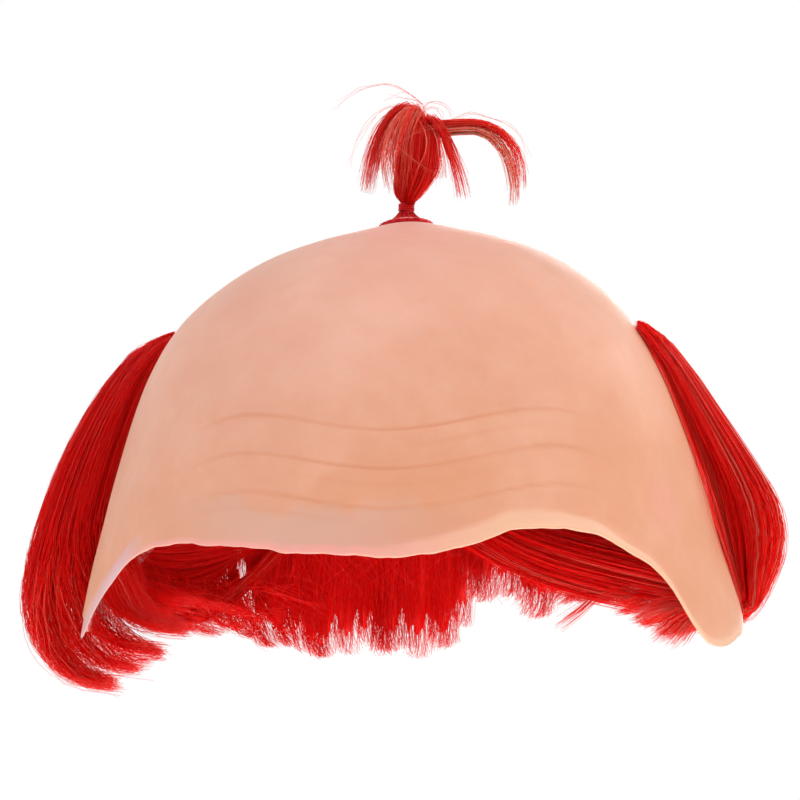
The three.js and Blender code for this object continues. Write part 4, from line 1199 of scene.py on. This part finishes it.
def topknot_plume():
    paths, tones = [], []
    for spine, count, width, splay, tone, uneven in zip(PLUME_SPINES.values(), *PLUME_FIBRES.values()):
        paths.append(plume_lock(spine, width, splay, uneven, int(count)))
        tones.append(np.clip(draw.normal(tone, 0.17, int(count)), 0.05, 1))
    paths, tones = np.concatenate(paths), np.concatenate(tones)
    plume_piece("plume_locks", paths, STRAND_RADIUS * draw.uniform(0.6, 1.05, len(paths)), tones)
    paths = plume_bulb(BULB_FIBRES)
    tones = np.clip(draw.normal(0.34, 0.16, BULB_FIBRES), 0.05, 1)
    plume_piece("plume_bulb", paths, STRAND_RADIUS * draw.uniform(0.7, 1.1, BULB_FIBRES), tones)
    strays = []
    for knots in PLUME_STRAYS:
        ease = np.linspace(0.2, 1, len(knots))[:, None]
        for _ in range(STRAY_COPIES):
            moved = np.array(knots, float) + draw.normal(0, 0.8, (len(knots), 3)) * ease
            strays.append(curve_through(moved, STRAY_POINTS))
    plume_piece("plume_strays", np.array(strays), 0.055, draw.uniform(0.6, 1, len(strays)))


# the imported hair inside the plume: how thick it is and how far aside it stands at each height
PLUME_CORE = table(
    "height radius aside",
    (0.1, 1.5, 0), (3.4, 1.5, 0), (5, 2.6, 0.8), (8, 3.8, 1.8), (12, 4.7, 2.6), (17, 5.2, 3.2),
    (22, 5, 3.4), (27, 4, 3.2), (30, 2.4, 2.8))
PLUME_CORE_COLUMNS, PLUME_CORE_ROWS, PLUME_CORE_CREST = 60, 28, 30.6


def plume_core():
    columns = PLUME_CORE_COLUMNS
    angle = np.linspace(0, 2 * np.pi, columns, endpoint=False)
    groove = 1 + 0.07 * draw.uniform(-1, 1, columns)
    low, high = PLUME_CORE["height"][[0, -1]]
    height = np.linspace(low, high, PLUME_CORE_ROWS)[:, None]
    radius = along(PLUME_CORE, "height", "radius", height) * groove
    centre = along(PLUME_CORE, "height", "aside", height)
    core = np.stack(np.broadcast_arrays(radius * np.sin(angle) + centre, -radius * np.cos(angle), height),
                    axis=-1)
    ends = [[0, 0, low], [PLUME_CORE["aside"][-1], 0, PLUME_CORE_CREST]]
    points = on_topknot(np.concatenate([core.reshape(-1, 3), ends]))
    foot, crest, last = len(points) - 2, len(points) - 1, (PLUME_CORE_ROWS - 1) * columns
    fans = np.concatenate([end_fan(foot, 0, columns, flip=True), end_fan(crest, last, columns)])
    # lighter where the core swells out and darker in its grooves: painted shade
    tone = np.append(np.tile(0.3 + 1.6 * (groove - 1), PLUME_CORE_ROWS), [0.2, 0.2])
    made = shape_mesh("plume_core", points, skin_rows(PLUME_CORE_ROWS, columns, True)[:, ::-1], fans,
                      [PLUME_HAIR], measures={"tone": tone})
    set_in_place(made, "topknot_plume")


# studio

FLOOR_RADIUS, FLOOR_HEIGHT, FLOOR_COLUMNS = 3.0, -0.6, 120      # metres, and points along its rim

# each softbox's place, what it is aimed at and its width, in metres, and its power in watts
SOFTBOXES = {
    "key_softbox": ((1.0, -0.5, 0.5), (0, 0, -0.06), 0.5, 6.0),
    "fill_softbox": ((-0.95, -0.5, 0.55), (0, 0, -0.05), 0.5, 4.0),
    "top_softbox": ((-0.1, -0.4, 1.0), (0, 0, -0.05), 0.6, 3.8),
    "low_softbox": ((0.0, -0.2, -0.48), (0, 0.07, -0.11), 0.36, 1.6),
    "side_softbox": ((0.95, 0.65, 0.5), (0.09, 0, -0.06), 0.3, 2.0),
    "back_softbox": ((0.1, 1.2, 0.0), (0, 0.08, -0.09), 0.7, 8.0),
}


def studio_floor():
    angle = 2 * np.pi * np.arange(FLOOR_COLUMNS) / FLOOR_COLUMNS
    rim = np.stack([FLOOR_RADIUS * np.cos(angle), FLOOR_RADIUS * np.sin(angle),
                    np.full(FLOOR_COLUMNS, FLOOR_HEIGHT)], axis=-1)
    points = np.concatenate([rim, [[0, 0, FLOOR_HEIGHT]]]) / MM
    floor = shape_mesh("floor", points, [], end_fan(FLOOR_COLUMNS, 0, FLOOR_COLUMNS), [painted_board()])


def studio_tent():
    world = bpy.data.worlds.new("studio_tent")
    bpy.context.scene.world = world
    world.use_nodes = True
    tree = world.node_tree
    tree.nodes.clear()
    facing = add_node(tree, "TexCoord").outputs["Generated"]
    split = add_node(tree, "SeparateXYZ", {"Vector": facing})
    height = add_node(tree, "MapRange",
                      {"From Min": -1.0, "From Max": 1.0, "Value": split.outputs["Z"]})
    # a white tent: brightest level with the cap, dimmer overhead and under it
    tent = add_node(tree, "ValToRGB", {"stops": [
        (0.0, "#9A9A9A"), (0.36, "#D0D0D0"), (0.42, "#FFFFFF"), (0.6, "#FFFFFF"), (0.74, "#B8B8B8"),
        (1.0, "#A0A0A0")], "Fac": height.outputs["Result"]})
    # and its front, where it opens on the room, dimmer than its back and sides
    forward = add_node(tree, "MapRange", {"From Min": -1.0, "From Max": 0.1, "To Min": 0.66,
                                                    "Value": split.outputs["Y"]})
    opened = add_node(tree, "Mix",
                      {"data_type": "RGBA", "blend_type": "MULTIPLY", 0: 1.0,
                       COLOUR_A: tent.outputs["Color"], COLOUR_B: forward.outputs["Result"]})
    glow = add_node(tree, "Background", {"Strength": 1.0, "Color": opened.outputs[COLOUR_OUT]})
    add_node(tree, "OutputWorld", {"Surface": glow.outputs[0]})


def softboxes():
    for name, (place, aim, size, power) in SOFTBOXES.items():
        lamp = bpy.data.lights.new(name, "AREA")
        lamp.shape, lamp.size, lamp.energy = "DISK", size, power
        box = bpy.data.objects.new(name, lamp)
        box.location = place
        away = np.array(place) - np.array(aim)
        box.rotation_euler = (math.atan2(math.hypot(away[0], away[1]), away[2]), 0,
                              math.atan2(away[0], -away[1]))
        box.visible_camera = False
        bpy.context.scene.collection.objects.link(box)


def photo_camera():
    """A long lens about a metre in front, turned 6 degrees to the right and tipped 1.5 degrees."""
    turn, tip = math.radians(6), math.radians(1.5)
    distance, aside, low = 1050, 1.55, -53.68
    lens_px, image_px, sensor = 3387, 800, 36
    right = np.array([math.cos(turn), math.sin(turn), 0])
    ahead = np.array([-math.sin(turn), math.cos(turn), 0])
    up = np.array([0, 0, 1.0])
    camera = bpy.data.cameras.new("photo_camera")
    camera.sensor_width, camera.lens = sensor, sensor * lens_px / image_px
    camera.clip_start = 0.05
    holder = bpy.data.objects.new("photo_camera", camera)
    pose = np.eye(4)
    pose[:3, 0] = right * math.cos(tip) - up * math.sin(tip)
    pose[:3, 1] = right * math.sin(tip) + up * math.cos(tip)
    pose[:3, 2] = -ahead
    pose[:3, 3] = (-ahead * distance - right * aside + up * low) * MM
    holder.matrix_world = Matrix(pose.tolist())
    bpy.context.scene.collection.objects.link(holder)
    bpy.context.scene.camera = holder


latex_crown()
fringe_core()
fringe_hair()
swag_hair("fringe_swag_left", SWAG_LEFT, count=520, fan=0, rim_place=0.8)
swag_hair("fringe_swag_right", SWAG_RIGHT, count=460, fan=18, rim_place=0.4)
fringe_strays()
fringe_edge_hair()
fringe_tab_strays()
fringe_root_wisps()
fringe_tufts()
fringe_weft()
topknot_patch()
topknot_tie()
topknot_plume()
plume_core()
studio_floor()
studio_tent()
softboxes()
photo_camera()
bpy.context.scene.view_settings.view_transform = "Standard"
